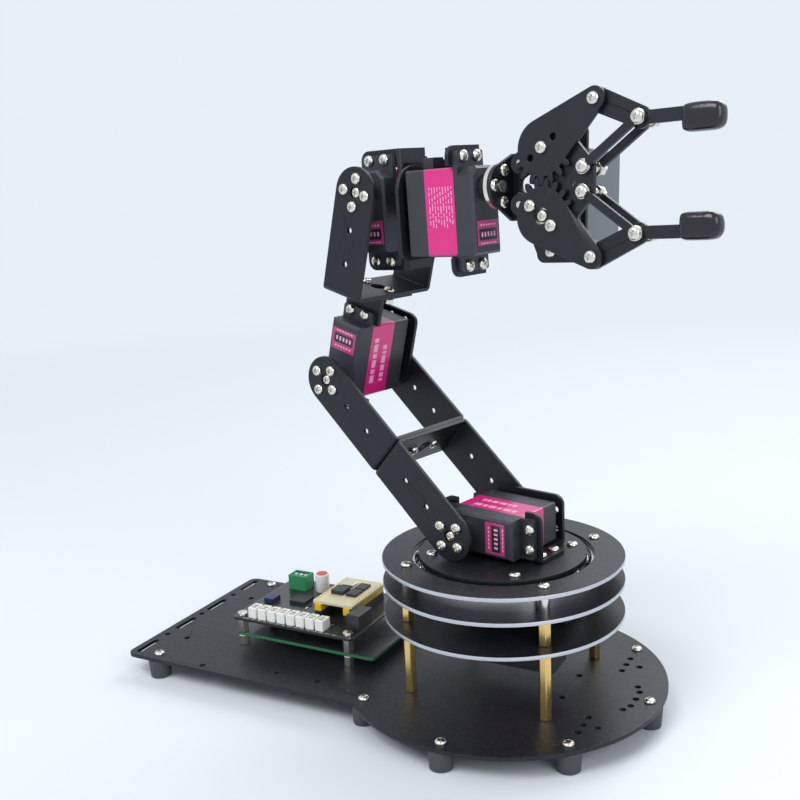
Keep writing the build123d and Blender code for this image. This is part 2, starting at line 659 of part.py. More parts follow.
def gripper_frame():
    """Bent plate: a round tab on the roll horn, a neck, and the plate the servo is bolted to."""
    back = FRAME_Y + FRAME_T
    lean = TAB_R * sin(radians(TAB_FLARE))
    tab = Circle(TAB_R) + Polygon(
        (-lean, -TAB_R * cos(radians(TAB_FLARE))), (FRAME_Y, -NECK_HALF), (back, -NECK_HALF),
        (back, NECK_HALF), (FRAME_Y, NECK_HALF), (-lean, TAB_R * cos(radians(TAB_FLARE))), align=None)
    tab = extrude(Plane.YZ * tab, FRAME_T)
    low = -CENTRES / 2 + FLANGE_CENTRE - FLANGE_L / 2 - 2.5
    high = -CENTRES / 2 + FLANGE_CENTRE + FLANGE_L / 2 + 2.5
    half = CASE_W / 2 + 2.5
    main = Polygon((-PIVOT_X, -NECK_HALF), (-half - 7, -NECK_HALF), (-half, low + 4), (-half, low),
                   (half, low), (half, high), (-half, high), (-half, high - 4),
                   (-half - 7, NECK_HALF), (-PIVOT_X, NECK_HALF), align=None)
    main = fillet([v for v in main.vertices() if abs(v.X) == half and v.Y in (low, high)], 4.0)
    window = Pos(0, FLANGE_CENTRE - CENTRES / 2) * Rectangle(CASE_W + 0.6, CASE_L + 0.6)
    main = main - window - Pos(NECK_HOLE_X, 1.0) * Circle(4.0)
    main = spots_to_holes(main, [(y, x - CENTRES / 2) for x, y in flange_points()], HOLE_R)
    main = spots_to_holes(main, [(COLUMN_X, COLUMN_Z), (COLUMN_X, -COLUMN_Z)], AXLE_R)
    plate = grip_layer(FRAME_Y + FRAME_T) * extrude(main, FRAME_T)
    tab -= Rot(0, 90, 0) * Cylinder(HORN_HOLE_R, 3 * FRAME_T)
    for y, z in around(HORN_PCD / 2, TAB_SPOTS):
        tab -= Pos(0, y, z) * Rot(0, 90, 0) * Cylinder(HOLE_R, 3 * FRAME_T)
    return tab + plate


def gripper_spacers():
    """Idler pin, the two link pins with their sleeves, and the columns behind the front plate."""
    back = GRIP_PLATE_Y + PLATE_T
    out = axle(0, CENTRES / 2, back - SLIP, GEAR_Y - SLIP)
    for s in (1, -1):
        x, z = LINK_X, s * LINK_Z
        end = BACK_LINK_Y + PLATE_T + SLIP + NUT_H
        pin = grip_layer(end) * Pos(x, z) * extrude(Circle(AXLE_R), end - GEAR_Y + SLIP)
        pin += grip_layer(GEAR_Y - SLIP) * Pos(x, z) * polygon_post(HEAD_R, HEAD_H, 12)
        pin += grip_layer(end) * Pos(x, z) * polygon_post(NUT_R, NUT_H, 6)
        pin += grip_layer(BACK_LINK_Y - SLIP) * Pos(x, z) * extrude(
            Circle(SLEEVE_R), BACK_LINK_Y - SLIP - back)
        out.append(pin)
        col = grip_layer(FRAME_Y) * Pos(COLUMN_X, s * COLUMN_Z) * extrude(Circle(SLEEVE_R), FRAME_Y - back)
        col += grip_layer(FRAME_Y + FRAME_T) * Pos(COLUMN_X, s * COLUMN_Z) * extrude(
            Circle(AXLE_R), FRAME_Y + FRAME_T - GRIP_PLATE_Y)
        out.append(col)
    return out


# Control electronics
def board_posts():
    cx, cy = BOARD_CENTRE
    return [(cx + sx * POST_DX, cy + sy * POST_DY) for sx in (-1, 1) for sy in (-1, 1)]


def board(size, centre, lift):
    plate = extrude(Pos(*centre) * RectangleRounded(*size, 2.5), BOARD_T)
    plate = drill(plate, board_posts(), 1.7, -1, BOARD_T + 1)
    return Pos(0, 0, PLATE_TOP + lift) * plate


def block(x, y, z, dx, dy, dz):
    """Box with its base at height z above the base plate, centred on x and y."""
    return Pos(x, y, PLATE_TOP + z + dz / 2) * Box(dx, dy, dz)


def electronics():
    cx, cy = BOARD_CENTRE
    low_top = BOARD_LIFT + BOARD_T
    top = UPPER_LIFT + BOARD_T
    posts = []
    for x, y in board_posts():
        posts.append(Pos(x, y, PLATE_TOP) * extrude(RegularPolygon(3.0, 6), BOARD_LIFT))
        post = Pos(x, y, PLATE_TOP + low_top) * extrude(RegularPolygon(3.0, 6), UPPER_LIFT - low_top)
        posts.append(post)
        posts.append(Pos(x, y, PLATE_TOP + top) * pan_screw(BOARD_T))
    edge = cy - UPPER_BOARD[1] / 2
    plugs = [block(cx - 26 + 6.2 * k, edge + 5.5, top, 5.0, 7.5, 6.0) for k in range(CONNECTOR_COUNT)]
    socket = [block(cx + 8, cy + 4, top, 4.0, 38.0, 8.5), block(cx + 26, cy + 4, top, 4.0, 38.0, 8.5)]
    radio = [block(cx + 17, cy + 4, top + 8.5, 25.0, 36.0, 1.6), block(cx + 17, cy + 6, top + 10.1, 16, 18, 2.4)]
    parts = [block(cx + 34.2, edge + 16, top, 8.0, 14.0, 9.0),
             block(cx - 25, cy + 19, top, 12.0, 9.0, 9.0),
             block(cx - 14, cy + 2, top, 10.0, 10.0, 2.0),
             block(cx - 30, cy - 4, top, 6.0, 8.0, 3.0),
             Pos(cx - 11, cy + 20, PLATE_TOP + top) * extrude(Circle(4.0), 11.0),
             block(cx - 8, cy, low_top, 34.0, 30.0, 5.5)]
    return {
        "controller_board": board(LOWER_BOARD, (cx + 6, cy + 4), BOARD_LIFT),
        "expansion_board": board(UPPER_BOARD, (cx, cy), UPPER_LIFT),
        "board_standoffs": posts,
        "servo_connectors": plugs,
        "yellow_socket": socket,
        "radio_module": radio,
        "board_components": parts,
    }


# Frames of the joints in the arm's plane
def u_frame(x, z, angle):
    return arm_plane(x, z, angle)


def servo_frame(x, z, angle):
    """Servo with its shaft on the joint and its length along the angle."""
    return arm_plane(x, z, angle) * Pos(0, 0, -CASE_BACK_Y)


def step(point, angle, along, across=0.0):
    """Point reached by going along a direction and then square to it, to its right."""
    a = radians(angle)
    x = point[0] + along * cos(a) + across * sin(a)
    return x, point[1] + along * sin(a) - across * cos(a)


SHOULDER = (SHOULDER_X, SHOULDER_Z)
ELBOW = step(SHOULDER, LINK_ANGLE, 2 * ARM_DEPTH)
WRIST = step(ELBOW, FOREARM_ANGLE, END_WEB_X + ARM_DEPTH, FOREARM_OFFSET)
WRIST_FRAME = Pos(WRIST[0], 0, WRIST[1]) * Rot(0, -WRIST_TILT, 0)
ROLL_SERVO = WRIST_FRAME * Plane(
    origin=(ROLL_CASE_X, ROLL_Y, ROLL_Z), x_dir=(0, 0, -1), z_dir=(1, 0, 0)).location
GRIP_FRAME = WRIST_FRAME * Pos(ROLL_CASE_X + HORN_TOP, ROLL_Y, ROLL_Z) * Rot(ROLL_REST, 0, 0)
GRIP_SERVO = GRIP_FRAME * Plane(
    origin=(PIVOT_X, GRIP_FLOOR_Y, -CENTRES / 2), x_dir=(0, 0, 1), z_dir=(0, -1, 0)).location


def placed(location, shapes):
    return [location * s for s in flat(shapes)]


def build_base():
    """Everything that stays still, in the base plate's own directions."""
    feet = [Pos(x, y, 0) * rubber_foot() for x, y in foot_points()]
    posts = around(DISC_BOLT_R, DISC_ANGLES)
    screws = [Pos(x, y, PLATE_TOP) * pan_screw(BASE_T) for x, y in foot_points()]
    screws += [Pos(x, y, RING_Z + DISC_T) * pan_screw(DISC_T) for x, y in posts]
    screws += [Pos(x, y, FOOT_H) * Rot(180, 0, 0) * pan_screw(BASE_T) for x, y in posts]
    waist = Pos(0, 0, WAIST_FLOOR)
    screws += placed(waist, flange_screws())
    spacer = ring(RING_SPACER_R, SHANK_R, RACE_W + SLIP)
    return {
        "base_plate": base_plate(),
        "rubber_feet": feet,
        "base_screws": screws,
        "long_standoffs": [Pos(x, y, PLATE_TOP) * hex_standoff(LONG_STANDOFF) for x, y in posts],
        "lower_disc": lower_disc(),
        "mid_standoffs": [Pos(x, y, LOWER_Z + DISC_T) * hex_standoff(MID_STANDOFF) for x, y in posts],
        "middle_disc": Pos(0, 0, MIDDLE_Z) * disc(SEAT_BORE_R),
        "ring_spacers": [Pos(x, y, MIDDLE_Z + DISC_T) * spacer for x, y in posts],
        "top_ring": Pos(0, 0, RING_Z) * disc(RING_BORE_R),
        "bearing_outer_race": bearing_race(RACE_OUT_R - RACE_WALL, RACE_OUT_R),
        "bearing_balls": bearing_balls(),
        "waist_servo_housing": placed(waist, [servo_housing()]),
        "waist_servo_covers": placed(waist, servo_covers()),
    }


def build_turntable():
    """Table, its hub and the shoulder servo with its bracket."""
    bolts = around(TABLE_BOLT_R, DISC_ANGLES)
    servo = servo_frame(*SHOULDER, 0)
    hub_z = WAIST_FLOOR + HORN_TOP
    hub = Pos(0, 0, hub_z) * extrude(Circle(HUB_R), TABLE_Z - hub_z)
    bracket = foot_holes(servo_bracket(), TABLE_FOOT_SPOTS)
    bracket = servo * mirror(bracket, Plane.XZ)
    table = Pos(0, 0, TABLE_Z) * extrude(Circle(TABLE_R), TABLE_T)
    table = drill(table, bolts, HOLE_R, TABLE_Z - 1, TABLE_TOP + 1)
    feet = [(SHOULDER_X + x, CASE_BACK_Y - z) for x, z in TABLE_FOOT_SPOTS]
    table = drill(table, feet, HOLE_R, TABLE_Z - 1, TABLE_TOP + 1)
    clamp = Pos(0, 0, TABLE_Z - RACE_W - CLAMP_T) * ring(CLAMP_R, CLAMP_BORE_R, CLAMP_T)
    clamp = drill(clamp, bolts, HOLE_R, 0, TABLE_TOP)
    screws = [Pos(x, y, TABLE_TOP) * pan_screw(TABLE_T + RACE_W + CLAMP_T) for x, y in bolts]
    screws += [Pos(x, y, TABLE_TOP + SHEET_T) * pan_screw(TABLE_T) for x, y in feet]
    screws += placed(servo, flange_screws())
    screws.append(u_frame(*SHOULDER, LINK_ANGLE) * pivot_screw())
    horn = Pos(0, 0, WAIST_FLOOR) * servo_horn(0)
    return {
        "turntable_plate": table,
        "bearing_inner_race": bearing_race(RACE_IN_R, RACE_IN_R + RACE_WALL),
        "clamp_ring": clamp,
        "waist_horn": [horn, hub],
        "shoulder_bracket": bracket,
        "shoulder_servo_housing": placed(servo, [servo_housing()]),
        "shoulder_servo_covers": placed(servo, servo_covers()),
        "turntable_screws": screws,
    }


def build_upper_arm():
    """Two U brackets back to back, between the shoulder and elbow horns."""
    low = u_frame(*SHOULDER, LINK_ANGLE)
    high = u_frame(*ELBOW, LINK_ANGLE + 180)
    to_horn = Pos(0, 0, -CASE_BACK_Y)
    screws = placed(low, web_bolts(0))
    for frame in (low, high):
        screws += placed(frame * to_horn, horn_screws(ARM_SWEEP))
        screws += placed(frame, [pivot_bush()])
    return {
        "lower_arm_bracket": low * (u_bracket(ARM_SWEEP) - web_holes(0)),
        "upper_arm_bracket": high * (u_bracket(ARM_SWEEP) - web_holes(0)),
        "arm_horns": [frame * to_horn * servo_horn(ARM_SWEEP) for frame in (low, high)],
        "arm_screws": screws,
    }


def build_forearm():
    """Elbow servo and its bracket, and the U bracket that reaches the wrist."""
    servo = servo_frame(*ELBOW, FOREARM_ANGLE)
    high = u_frame(*WRIST, FOREARM_ANGLE + 180)
    bracket = servo * servo_bracket(web=True) - high * web_holes(1)
    screws = placed(servo, flange_screws()) + placed(high, web_bolts(1))
    screws += placed(high * Pos(0, 0, -CASE_BACK_Y), horn_screws(ARM_SWEEP))
    screws += placed(high, [pivot_bush()])
    screws.append(u_frame(*ELBOW, FOREARM_ANGLE) * pivot_screw())
    return {
        "elbow_bracket": bracket,
        "elbow_servo_housing": placed(servo, [servo_housing()]),
        "elbow_servo_covers": placed(servo, servo_covers()),
        "forearm_bracket": high * (u_bracket(ARM_SWEEP) - web_holes(1)),
        "wrist_horn": high * Pos(0, 0, -CASE_BACK_Y) * servo_horn(ARM_SWEEP),
        "forearm_screws": screws,
    }


def angle_bracket():
    """Plate bent square: one leg on the wrist bracket's foot, one on the roll bracket's."""
    corner_y = ROLL_Y + EAR_HALF
    leg_b = Pos(EAR_HALF, corner_y, -EAR_HALF) * Box(
        ANGLE_LEG_B, SHEET_T, 2 * EAR_HALF, align=(Align.MIN, Align.MIN, Align.MIN))
    leg_a = Pos(EAR_HALF, corner_y, -EAR_HALF) * Box(
        SHEET_T, ANGLE_LEG_A, 2 * EAR_HALF, align=(Align.MIN, Align.MIN, Align.MIN))
    part = leg_a + leg_b
    for y, z in ANGLE_SPOTS_A:
        part -= Pos(EAR_HALF + SHEET_T / 2, y, z) * Rot(0, 90, 0) * Cylinder(HOLE_R, 3 * SHEET_T)
    for x, z in ANGLE_SPOTS_B:
        part -= Pos(x, corner_y + SHEET_T / 2, z) * Rot(90, 0, 0) * Cylinder(HOLE_R, 3 * SHEET_T)
    return part


def build_wrist():
    """Wrist servo, the angle bracket and the roll servo with its bracket."""
    servo = WRIST_FRAME * Plane(origin=(0, CASE_BACK_Y, 0), x_dir=(0, 0, -1), z_dir=(0, -1, 0)).location
    corner_y = ROLL_Y + EAR_HALF
    wrist_holes = [(-z, CASE_BACK_Y - y) for y, z in ANGLE_SPOTS_A]
    roll_holes = [(ROLL_Z - z, x - ROLL_CASE_X) for x, z in ANGLE_SPOTS_B]
    screws = placed(servo, flange_screws()) + placed(ROLL_SERVO, flange_screws())
    for y, z in ANGLE_SPOTS_A:
        screws.append(WRIST_FRAME * Pos(EAR_HALF + SHEET_T, y, z) * Rot(0, 90, 0) * pan_screw(2 * SHEET_T))
    for x, z in ANGLE_SPOTS_B:
        screws.append(WRIST_FRAME * Pos(x, corner_y + SHEET_T, z) * Rot(-90, 0, 0) * pan_screw(2 * SHEET_T))
    pin = servo * Pos(0, 0, CASE_BACK_Y) * pivot_screw()
    return {
        "wrist_bracket": servo * foot_holes(servo_bracket(), wrist_holes),
        "wrist_servo_housing": servo * servo_housing(),
        "wrist_angle_bracket": WRIST_FRAME * angle_bracket(),
        "roll_bracket": ROLL_SERVO * foot_holes(servo_bracket(), roll_holes),
        "roll_servo_housing": ROLL_SERVO * servo_housing(),
        "wrist_servo_covers": placed(servo, servo_covers()) + placed(ROLL_SERVO, servo_covers()),
        "wrist_screws": screws + [pin],
    }


def build_gripper():
    """Frame, servo and the linked fingers, all placed from the roll axis."""
    roll_horn = ROLL_SERVO * Rot(0, 0, ROLL_REST) * servo_horn(0)
    screws = placed(GRIP_SERVO, flange_screws_through_frame())
    for y, z in around(HORN_PCD / 2, TAB_SPOTS):
        screws.append(GRIP_FRAME * Pos(FRAME_T, y, z) * Rot(0, 90, 0) * pan_screw(FRAME_T + HORN_T - 0.2))
    screws.append(GRIP_FRAME * Rot(0, 90, 0) * pan_screw(0))
    drive_horn = GRIP_SERVO * servo_horn(-HORN_SWEEP)
    drive = placed(GRIP_FRAME, drive_gear_arm())
    return {
        "roll_horn": roll_horn,
        "gripper_frame": GRIP_FRAME * gripper_frame(),
        "gripper_front_plate": GRIP_FRAME * front_plate(),
        "gripper_servo_housing": GRIP_SERVO * servo_housing(),
        "gripper_servo_covers": placed(GRIP_SERVO, servo_covers()),
        "gripper_spacers": placed(GRIP_FRAME, gripper_spacers()) + screws,
        "gripper_horn": drive_horn,
        "drive_gear_arm": drive,
        "idler_gear_arm": placed(GRIP_FRAME, idler_gear_arm()),
        "upper_finger": GRIP_FRAME * finger(1),
        "upper_tip_cap": GRIP_FRAME * tip_cap(1),
        "upper_link": GRIP_FRAME * link(1),
        "lower_finger": GRIP_FRAME * finger(-1),
        "lower_tip_cap": GRIP_FRAME * tip_cap(-1),
        "lower_link": GRIP_FRAME * link(-1),
    }


def flange_screws_through_frame():
    """Screws through the gripper frame into the flange behind it."""
    top = FLANGE_Z + FLANGE_T + FRAME_T
    return [Pos(x, y, top) * pan_screw(FRAME_T + FLANGE_T) for x, y in flange_points()]


def build_all():
    """Every node by name, standing over the origin as the finished arm."""
    nodes = {**build_base(), **electronics()}
    for make in (build_turntable, build_upper_arm, build_forearm, build_wrist, build_gripper):
        for name, shapes in make().items():
            nodes[name] = placed(WAIST, [shapes] if not isinstance(shapes, list) else shapes)
    return {name: flat([shapes]) for name, shapes in nodes.items()}


def whole_box(nodes):
    boxes = [s.bounding_box() for solids in nodes.values() for s in solids]
    low = [min(getattr(b.min, k) for b in boxes) for k in "XYZ"]
    high = [max(getattr(b.max, k) for b in boxes) for k in "XYZ"]
    return low, high


if __name__ == "__main__":
    os.makedirs("parts", exist_ok=True)
    NODES = build_all()
    LOW, HIGH = whole_box(NODES)
    SHIFT = Pos(-(LOW[0] + HIGH[0]) / 2, -(LOW[1] + HIGH[1]) / 2, -LOW[2])
    print("turntable axis at", SHIFT.position, "size", [round(h - l, 2) for l, h in zip(LOW, HIGH)])
    for NAME, SOLIDS in NODES.items():
        moved = [SHIFT * s for s in SOLIDS]
        export_step(moved[0] if len(moved) == 1 else Compound(children=moved), f"parts/{NAME}.step")
    print(len(NODES), "nodes")
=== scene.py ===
"""Desktop robot arm: the looks of every sheet, servo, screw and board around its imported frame."""

import json
import math

import bmesh
import bpy
import numpy as np
from mathutils import Matrix, Vector


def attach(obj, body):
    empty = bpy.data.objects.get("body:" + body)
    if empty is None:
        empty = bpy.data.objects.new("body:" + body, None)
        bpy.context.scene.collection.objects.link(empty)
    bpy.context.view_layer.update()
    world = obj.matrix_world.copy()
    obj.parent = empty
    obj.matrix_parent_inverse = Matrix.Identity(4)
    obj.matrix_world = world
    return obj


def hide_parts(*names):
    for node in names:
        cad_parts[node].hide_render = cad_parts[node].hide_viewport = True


bl_info = {
    "name": "Desktop robot arm",
    "version": (1, 0, 0),
    "blender": (4, 5, 0),
    "location": "View3D > Sidebar > Robot arm",
    "description": "Dresses the robot arm: sheet, servo cases, screws, finger caps and control boards",
    "category": "Object",
}

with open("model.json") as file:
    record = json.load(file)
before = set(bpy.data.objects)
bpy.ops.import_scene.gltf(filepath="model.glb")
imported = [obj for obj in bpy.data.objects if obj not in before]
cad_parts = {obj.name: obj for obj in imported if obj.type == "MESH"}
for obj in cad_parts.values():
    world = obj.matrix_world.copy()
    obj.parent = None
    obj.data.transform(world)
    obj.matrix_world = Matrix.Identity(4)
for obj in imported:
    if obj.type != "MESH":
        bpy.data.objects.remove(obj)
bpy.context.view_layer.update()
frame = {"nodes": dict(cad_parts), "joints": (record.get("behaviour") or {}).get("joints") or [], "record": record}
NODES = frame["nodes"]
JOINTS = {j["name"]: j for j in frame["joints"]}
BODY_OF = {n: b for b, names in frame["record"]["behaviour"]["bodies"].items() for n in names}
MM = 0.001

# Screws as the frame draws them, in millimetres
HEAD_R = 2.8
HEAD_H = 1.9
NUT_R = 3.1
FIT = 0.05
# Radius from the waist axis beyond which a disc's edge is its bare outer rim, in metres
RIM_R = 0.0575
# Faces that lie this near to a pin's axis belong to the pin, in metres
PIN_REACH = 0.0033
# Camera recovered from the photograph: turns in degrees, place in metres, focal length in pixels
CAMERA_TURNS = (28.72, -12.42, 2.39)
CAMERA_SPOT = (0.2530, -0.4848, 0.2743)
FOCAL_PIXELS = 1107.03
PHOTO_WIDTH = 800
SENSOR = 36.0
BACKDROP = (0.8, 0.86, 0.93)


# ---- Plain helpers ----

def clear():
    """Leave edit mode and deselect everything."""
    if bpy.context.object and bpy.context.object.mode != "OBJECT":
        bpy.ops.object.mode_set(mode="OBJECT")
    bpy.ops.object.select_all(action="DESELECT")


def only(obj):
    """Make this the one selected, active object."""
    clear()
    obj.select_set(True)
    bpy.context.view_layer.objects.active = obj
    return obj


def settle(obj):
    """Apply modifiers, place, turn and size, so that the place is in the mesh."""
    only(obj)
    for m in list(obj.modifiers):
        bpy.ops.object.modifier_apply(modifier=m.name)
    bpy.ops.object.transform_apply(location=True, rotation=True, scale=True)
    return obj


def outwards(obj):
    """Merge doubled points and point every face outwards."""
    only(obj)
    bpy.ops.object.mode_set(mode="EDIT")
    bpy.ops.mesh.select_all(action="SELECT")
    bpy.ops.mesh.remove_doubles(threshold=1e-6)
    bpy.ops.mesh.normals_make_consistent(inside=False)
    bpy.ops.object.mode_set(mode="OBJECT")
    return obj


def smooth(obj, angle=35):
    only(obj)
    bpy.ops.object.shade_smooth_by_angle(angle=math.radians(angle))
    return obj


def bevel(obj, width, segments=2, angle=40):
    """Round the sharp edges of a piece by this many millimetres."""
    m = obj.modifiers.new("round", "BEVEL")
    m.width, m.segments, m.limit_method = width * MM, segments, "ANGLE"
    m.angle_limit = math.radians(angle)
    return settle(obj)


def block(x, y, z, dx, dy, dz, soft=0.3, name="block"):
    """Box with rounded edges, in millimetres, standing at height z and centred on x and y."""
    clear()
    bpy.ops.mesh.primitive_cube_add(size=1, location=(x * MM, y * MM, (z + dz / 2) * MM))
    obj = bpy.context.object
    obj.scale = (dx * MM, dy * MM, dz * MM)
    obj.name = name
    settle(obj)
    return bevel(obj, soft) if soft else obj


def rod(x, y, z, r, h, sides=24, soft=0.0):
    """Upright rod with its foot at height z, in millimetres."""
    clear()
    bpy.ops.mesh.primitive_cylinder_add(vertices=sides, radius=r * MM, depth=h * MM,
                                        location=(x * MM, y * MM, (z + h / 2) * MM))
    obj = settle(bpy.context.object)
    return bevel(obj, soft) if soft else obj


def turned(profile, sides=28):
    """Solid of revolution about z from (radius, height) pairs, in millimetres, by the spin tool."""
    clear()
    bpy.ops.mesh.primitive_plane_add(size=1)
    obj = bpy.context.object
    bpy.ops.object.mode_set(mode="EDIT")
    bm = bmesh.from_edit_mesh(obj.data)
    bmesh.ops.delete(bm, geom=list(bm.verts), context="VERTS")
    line = [bm.verts.new((r * MM, 0, z * MM)) for r, z in profile]
    for a, b in zip(line, line[1:]):
        bm.edges.new((a, b))
    bmesh.update_edit_mesh(obj.data)
    bpy.ops.mesh.select_all(action="SELECT")
    bpy.ops.mesh.spin(steps=sides, angle=math.tau, center=(0, 0, 0), axis=(0, 0, 1))
    bpy.ops.object.mode_set(mode="OBJECT")
    return outwards(obj)


def place(master, matrix):
    """A copy with its own mesh, moved into place."""
    obj = master.copy()
    obj.data = master.data.copy()
    obj.data.transform(matrix)
    bpy.context.scene.collection.objects.link(obj)
    return obj


def merge(parts, name):
    """Join pieces into one named piece."""
    clear()
    for p in parts:
        p.select_set(True)
    bpy.context.view_layer.objects.active = parts[0]
    if len(parts) > 1:
        bpy.ops.object.join()
    obj = bpy.context.object
    obj.name = name
    obj.data.name = name
    return obj


def bin_master(*masters):
    for m in masters:
        bpy.data.objects.remove(m)


def paint(obj, *mats):
    obj.data.materials.clear()
    for m in mats:
        obj.data.materials.append(m)
    return obj


def dress(obj, mat, body, slot, *stands_for):
    """Give a finished piece its material and body, and hide the nodes that it stands for; the slot is not used."""
    if mat:
        paint(obj, mat)
    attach(obj, body)
    if stands_for:
        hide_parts(*stands_for)
    return obj


# ---- Shared effects ----

def new_group(name, inputs, outputs):
    g = bpy.data.node_groups.new(name, "ShaderNodeTree")
    for label, kind, value in inputs:
        s = g.interface.new_socket(name=label, in_out="INPUT", socket_type=kind)
        s.default_value = value
    for label, kind in outputs:
        g.interface.new_socket(name=label, in_out="OUTPUT", socket_type=kind)
    return g, g.nodes.new("NodeGroupInput"), g.nodes.new("NodeGroupOutput")


def math_node(tree, op, a, b=None, c=None, clamp=False):
    n = tree.nodes.new("ShaderNodeMath")
    n.operation, n.use_clamp = op, clamp
    for i, v in enumerate((a, b, c)):
        if v is None:
            continue
        if isinstance(v, (int, float)):
            n.inputs[i].default_value = v
        else:
            tree.links.new(v, n.inputs[i])
    return n.outputs[0]


def noise(tree, coords, scale, detail=3.0, rough=0.5):
    n = tree.nodes.new("ShaderNodeTexNoise")
    n.inputs["Detail"].default_value = detail
    n.inputs["Roughness"].default_value = rough
    tree.links.new(coords, n.inputs["Vector"])
    if isinstance(scale, (int, float)):
        n.inputs["Scale"].default_value = scale
    else:
        tree.links.new(scale, n.inputs["Scale"])
    return n.outputs["Fac"]


def ramp(tree, value, low, high):
    """Value mapped to 0..1 between two limits."""
    n = tree.nodes.new("ShaderNodeMapRange")
    tree.links.new(value, n.inputs["Value"])
    n.inputs["From Min"].default_value, n.inputs["From Max"].default_value = low, high
    return n.outputs["Result"]


def grain_group():
    """Fine grain of anodised or moulded skin: a height and a slow cloudiness."""
    g, gin, gout = new_group("skin_grain", [("Scale", "NodeSocketFloat", 1800.0)],
                             [("Height", "NodeSocketFloat"), ("Cloud", "NodeSocketFloat")])
    tex = g.nodes.new("ShaderNodeTexCoord").outputs["Object"]
    g.links.new(noise(g, tex, gin.outputs["Scale"], 4.0, 0.6), gout.inputs["Height"])
    g.links.new(noise(g, tex, 38.0, 3.0, 0.55), gout.inputs["Cloud"])
    return g


def scuff_group():
    """Fine scratches and rubbed spots as a mask."""
    g, gin, gout = new_group("scuffs", [("Amount", "NodeSocketFloat", 0.5)], [("Mask", "NodeSocketFloat")])
    tex = g.nodes.new("ShaderNodeTexCoord").outputs["Object"]
    stretch = g.nodes.new("ShaderNodeMapping")
    stretch.inputs["Scale"].default_value = (1.0, 9.0, 2.0)
    stretch.inputs["Rotation"].default_value = (0.4, 0.3, 0.7)
    g.links.new(tex, stretch.inputs["Vector"])
    lines = ramp(g, noise(g, stretch.outputs["Vector"], 160.0, 6.0, 0.7), 0.66, 0.74)
    patch = ramp(g, noise(g, tex, 22.0, 2.0, 0.5), 0.5, 0.75)
    both = math_node(g, "MULTIPLY", lines, patch)
    g.links.new(math_node(g, "MULTIPLY", both, gin.outputs["Amount"], clamp=True), gout.inputs["Mask"])
    return g


def dust_group():
    """Thin dust on faces that look up."""
    g, gin, gout = new_group("dust", [("Amount", "NodeSocketFloat", 0.2)], [("Mask", "NodeSocketFloat")])
    tc = g.nodes.new("ShaderNodeTexCoord")
    split = g.nodes.new("ShaderNodeSeparateXYZ")
    g.links.new(tc.outputs["Normal"], split.inputs[0])
    up = ramp(g, split.outputs["Z"], 0.6, 1.0)
    speck = ramp(g, noise(g, tc.outputs["Object"], 420.0, 5.0, 0.65), 0.5, 0.8)
    both = math_node(g, "MULTIPLY", up, speck)
    g.links.new(math_node(g, "MULTIPLY", both, gin.outputs["Amount"], clamp=True), gout.inputs["Mask"])
    return g


GROUPS = {}


def effect(tree, name, **values):
    n = tree.nodes.new("ShaderNodeGroup")
    n.node_tree = GROUPS[name]
    for k, v in values.items():
        n.inputs[k].default_value = v
    return n.outputs


def mix(tree, factor, a, b):
    """Colour a turning to colour b by the factor; each is a socket or an rgb tuple."""
    n = tree.nodes.new("ShaderNodeMix")
    n.data_type = "RGBA"
    tree.links.new(factor, n.inputs[0])
    for socket, v in ((n.inputs[6], a), (n.inputs[7], b)):
        if isinstance(v, tuple):
            socket.default_value = (*v, 1.0)
        else:
            tree.links.new(v, socket)
    return n.outputs[2]


def new_material(name, **plain):
    m = bpy.data.materials.new(name)
    m.use_nodes = True
    tree = m.node_tree
    shader = tree.nodes["Principled BSDF"]
    for k, v in plain.items():
        shader.inputs[k.replace("_", " ")].default_value = v
    return m, tree, shader


def bump(tree, shader, height, strength, distance=0.0001):
    n = tree.nodes.new("ShaderNodeBump")
    n.inputs["Strength"].default_value = strength
    n.inputs["Distance"].default_value = distance
    tree.links.new(height, n.inputs["Height"])
    tree.links.new(n.outputs["Normal"], shader.inputs["Normal"])


def skin(name, colour, rough, metal=0.0, coat=0.0, grain=1800.0, depth=0.25, worn=None, scuffs=0.4,
         dust=0.15, cloud=0.12, **plain):
    """Surface with grain, cloudy tone, scuffs and dust; worn is the colour that shows where it is rubbed."""
    m, tree, shader = new_material(name, Metallic=metal, Coat_Weight=coat, **plain)
    g = effect(tree, "grain", Scale=grain)
    dark = tuple(c * (1 - cloud) for c in colour)
    light = tuple(min(1, c * (1 + cloud)) for c in colour)
    tone = mix(tree, g["Cloud"], dark, light)
    rub = effect(tree, "scuffs", Amount=scuffs)["Mask"]
    tone = mix(tree, rub, tone, worn or tuple(min(1, c * 1.8 + 0.02) for c in colour))
    film = effect(tree, "dust", Amount=dust)["Mask"]
    tone = mix(tree, film, tone, (0.42, 0.42, 0.43))
    tree.links.new(tone, shader.inputs["Base Color"])
    r = math_node(tree, "MULTIPLY_ADD", g["Cloud"], 0.16, rough - 0.08)
    r = math_node(tree, "ADD", r, math_node(tree, "MULTIPLY", film, 0.3), clamp=True)
    tree.links.new(r, shader.inputs["Roughness"])
    bump(tree, shader, g["Height"], depth)
    return m, tree, shader


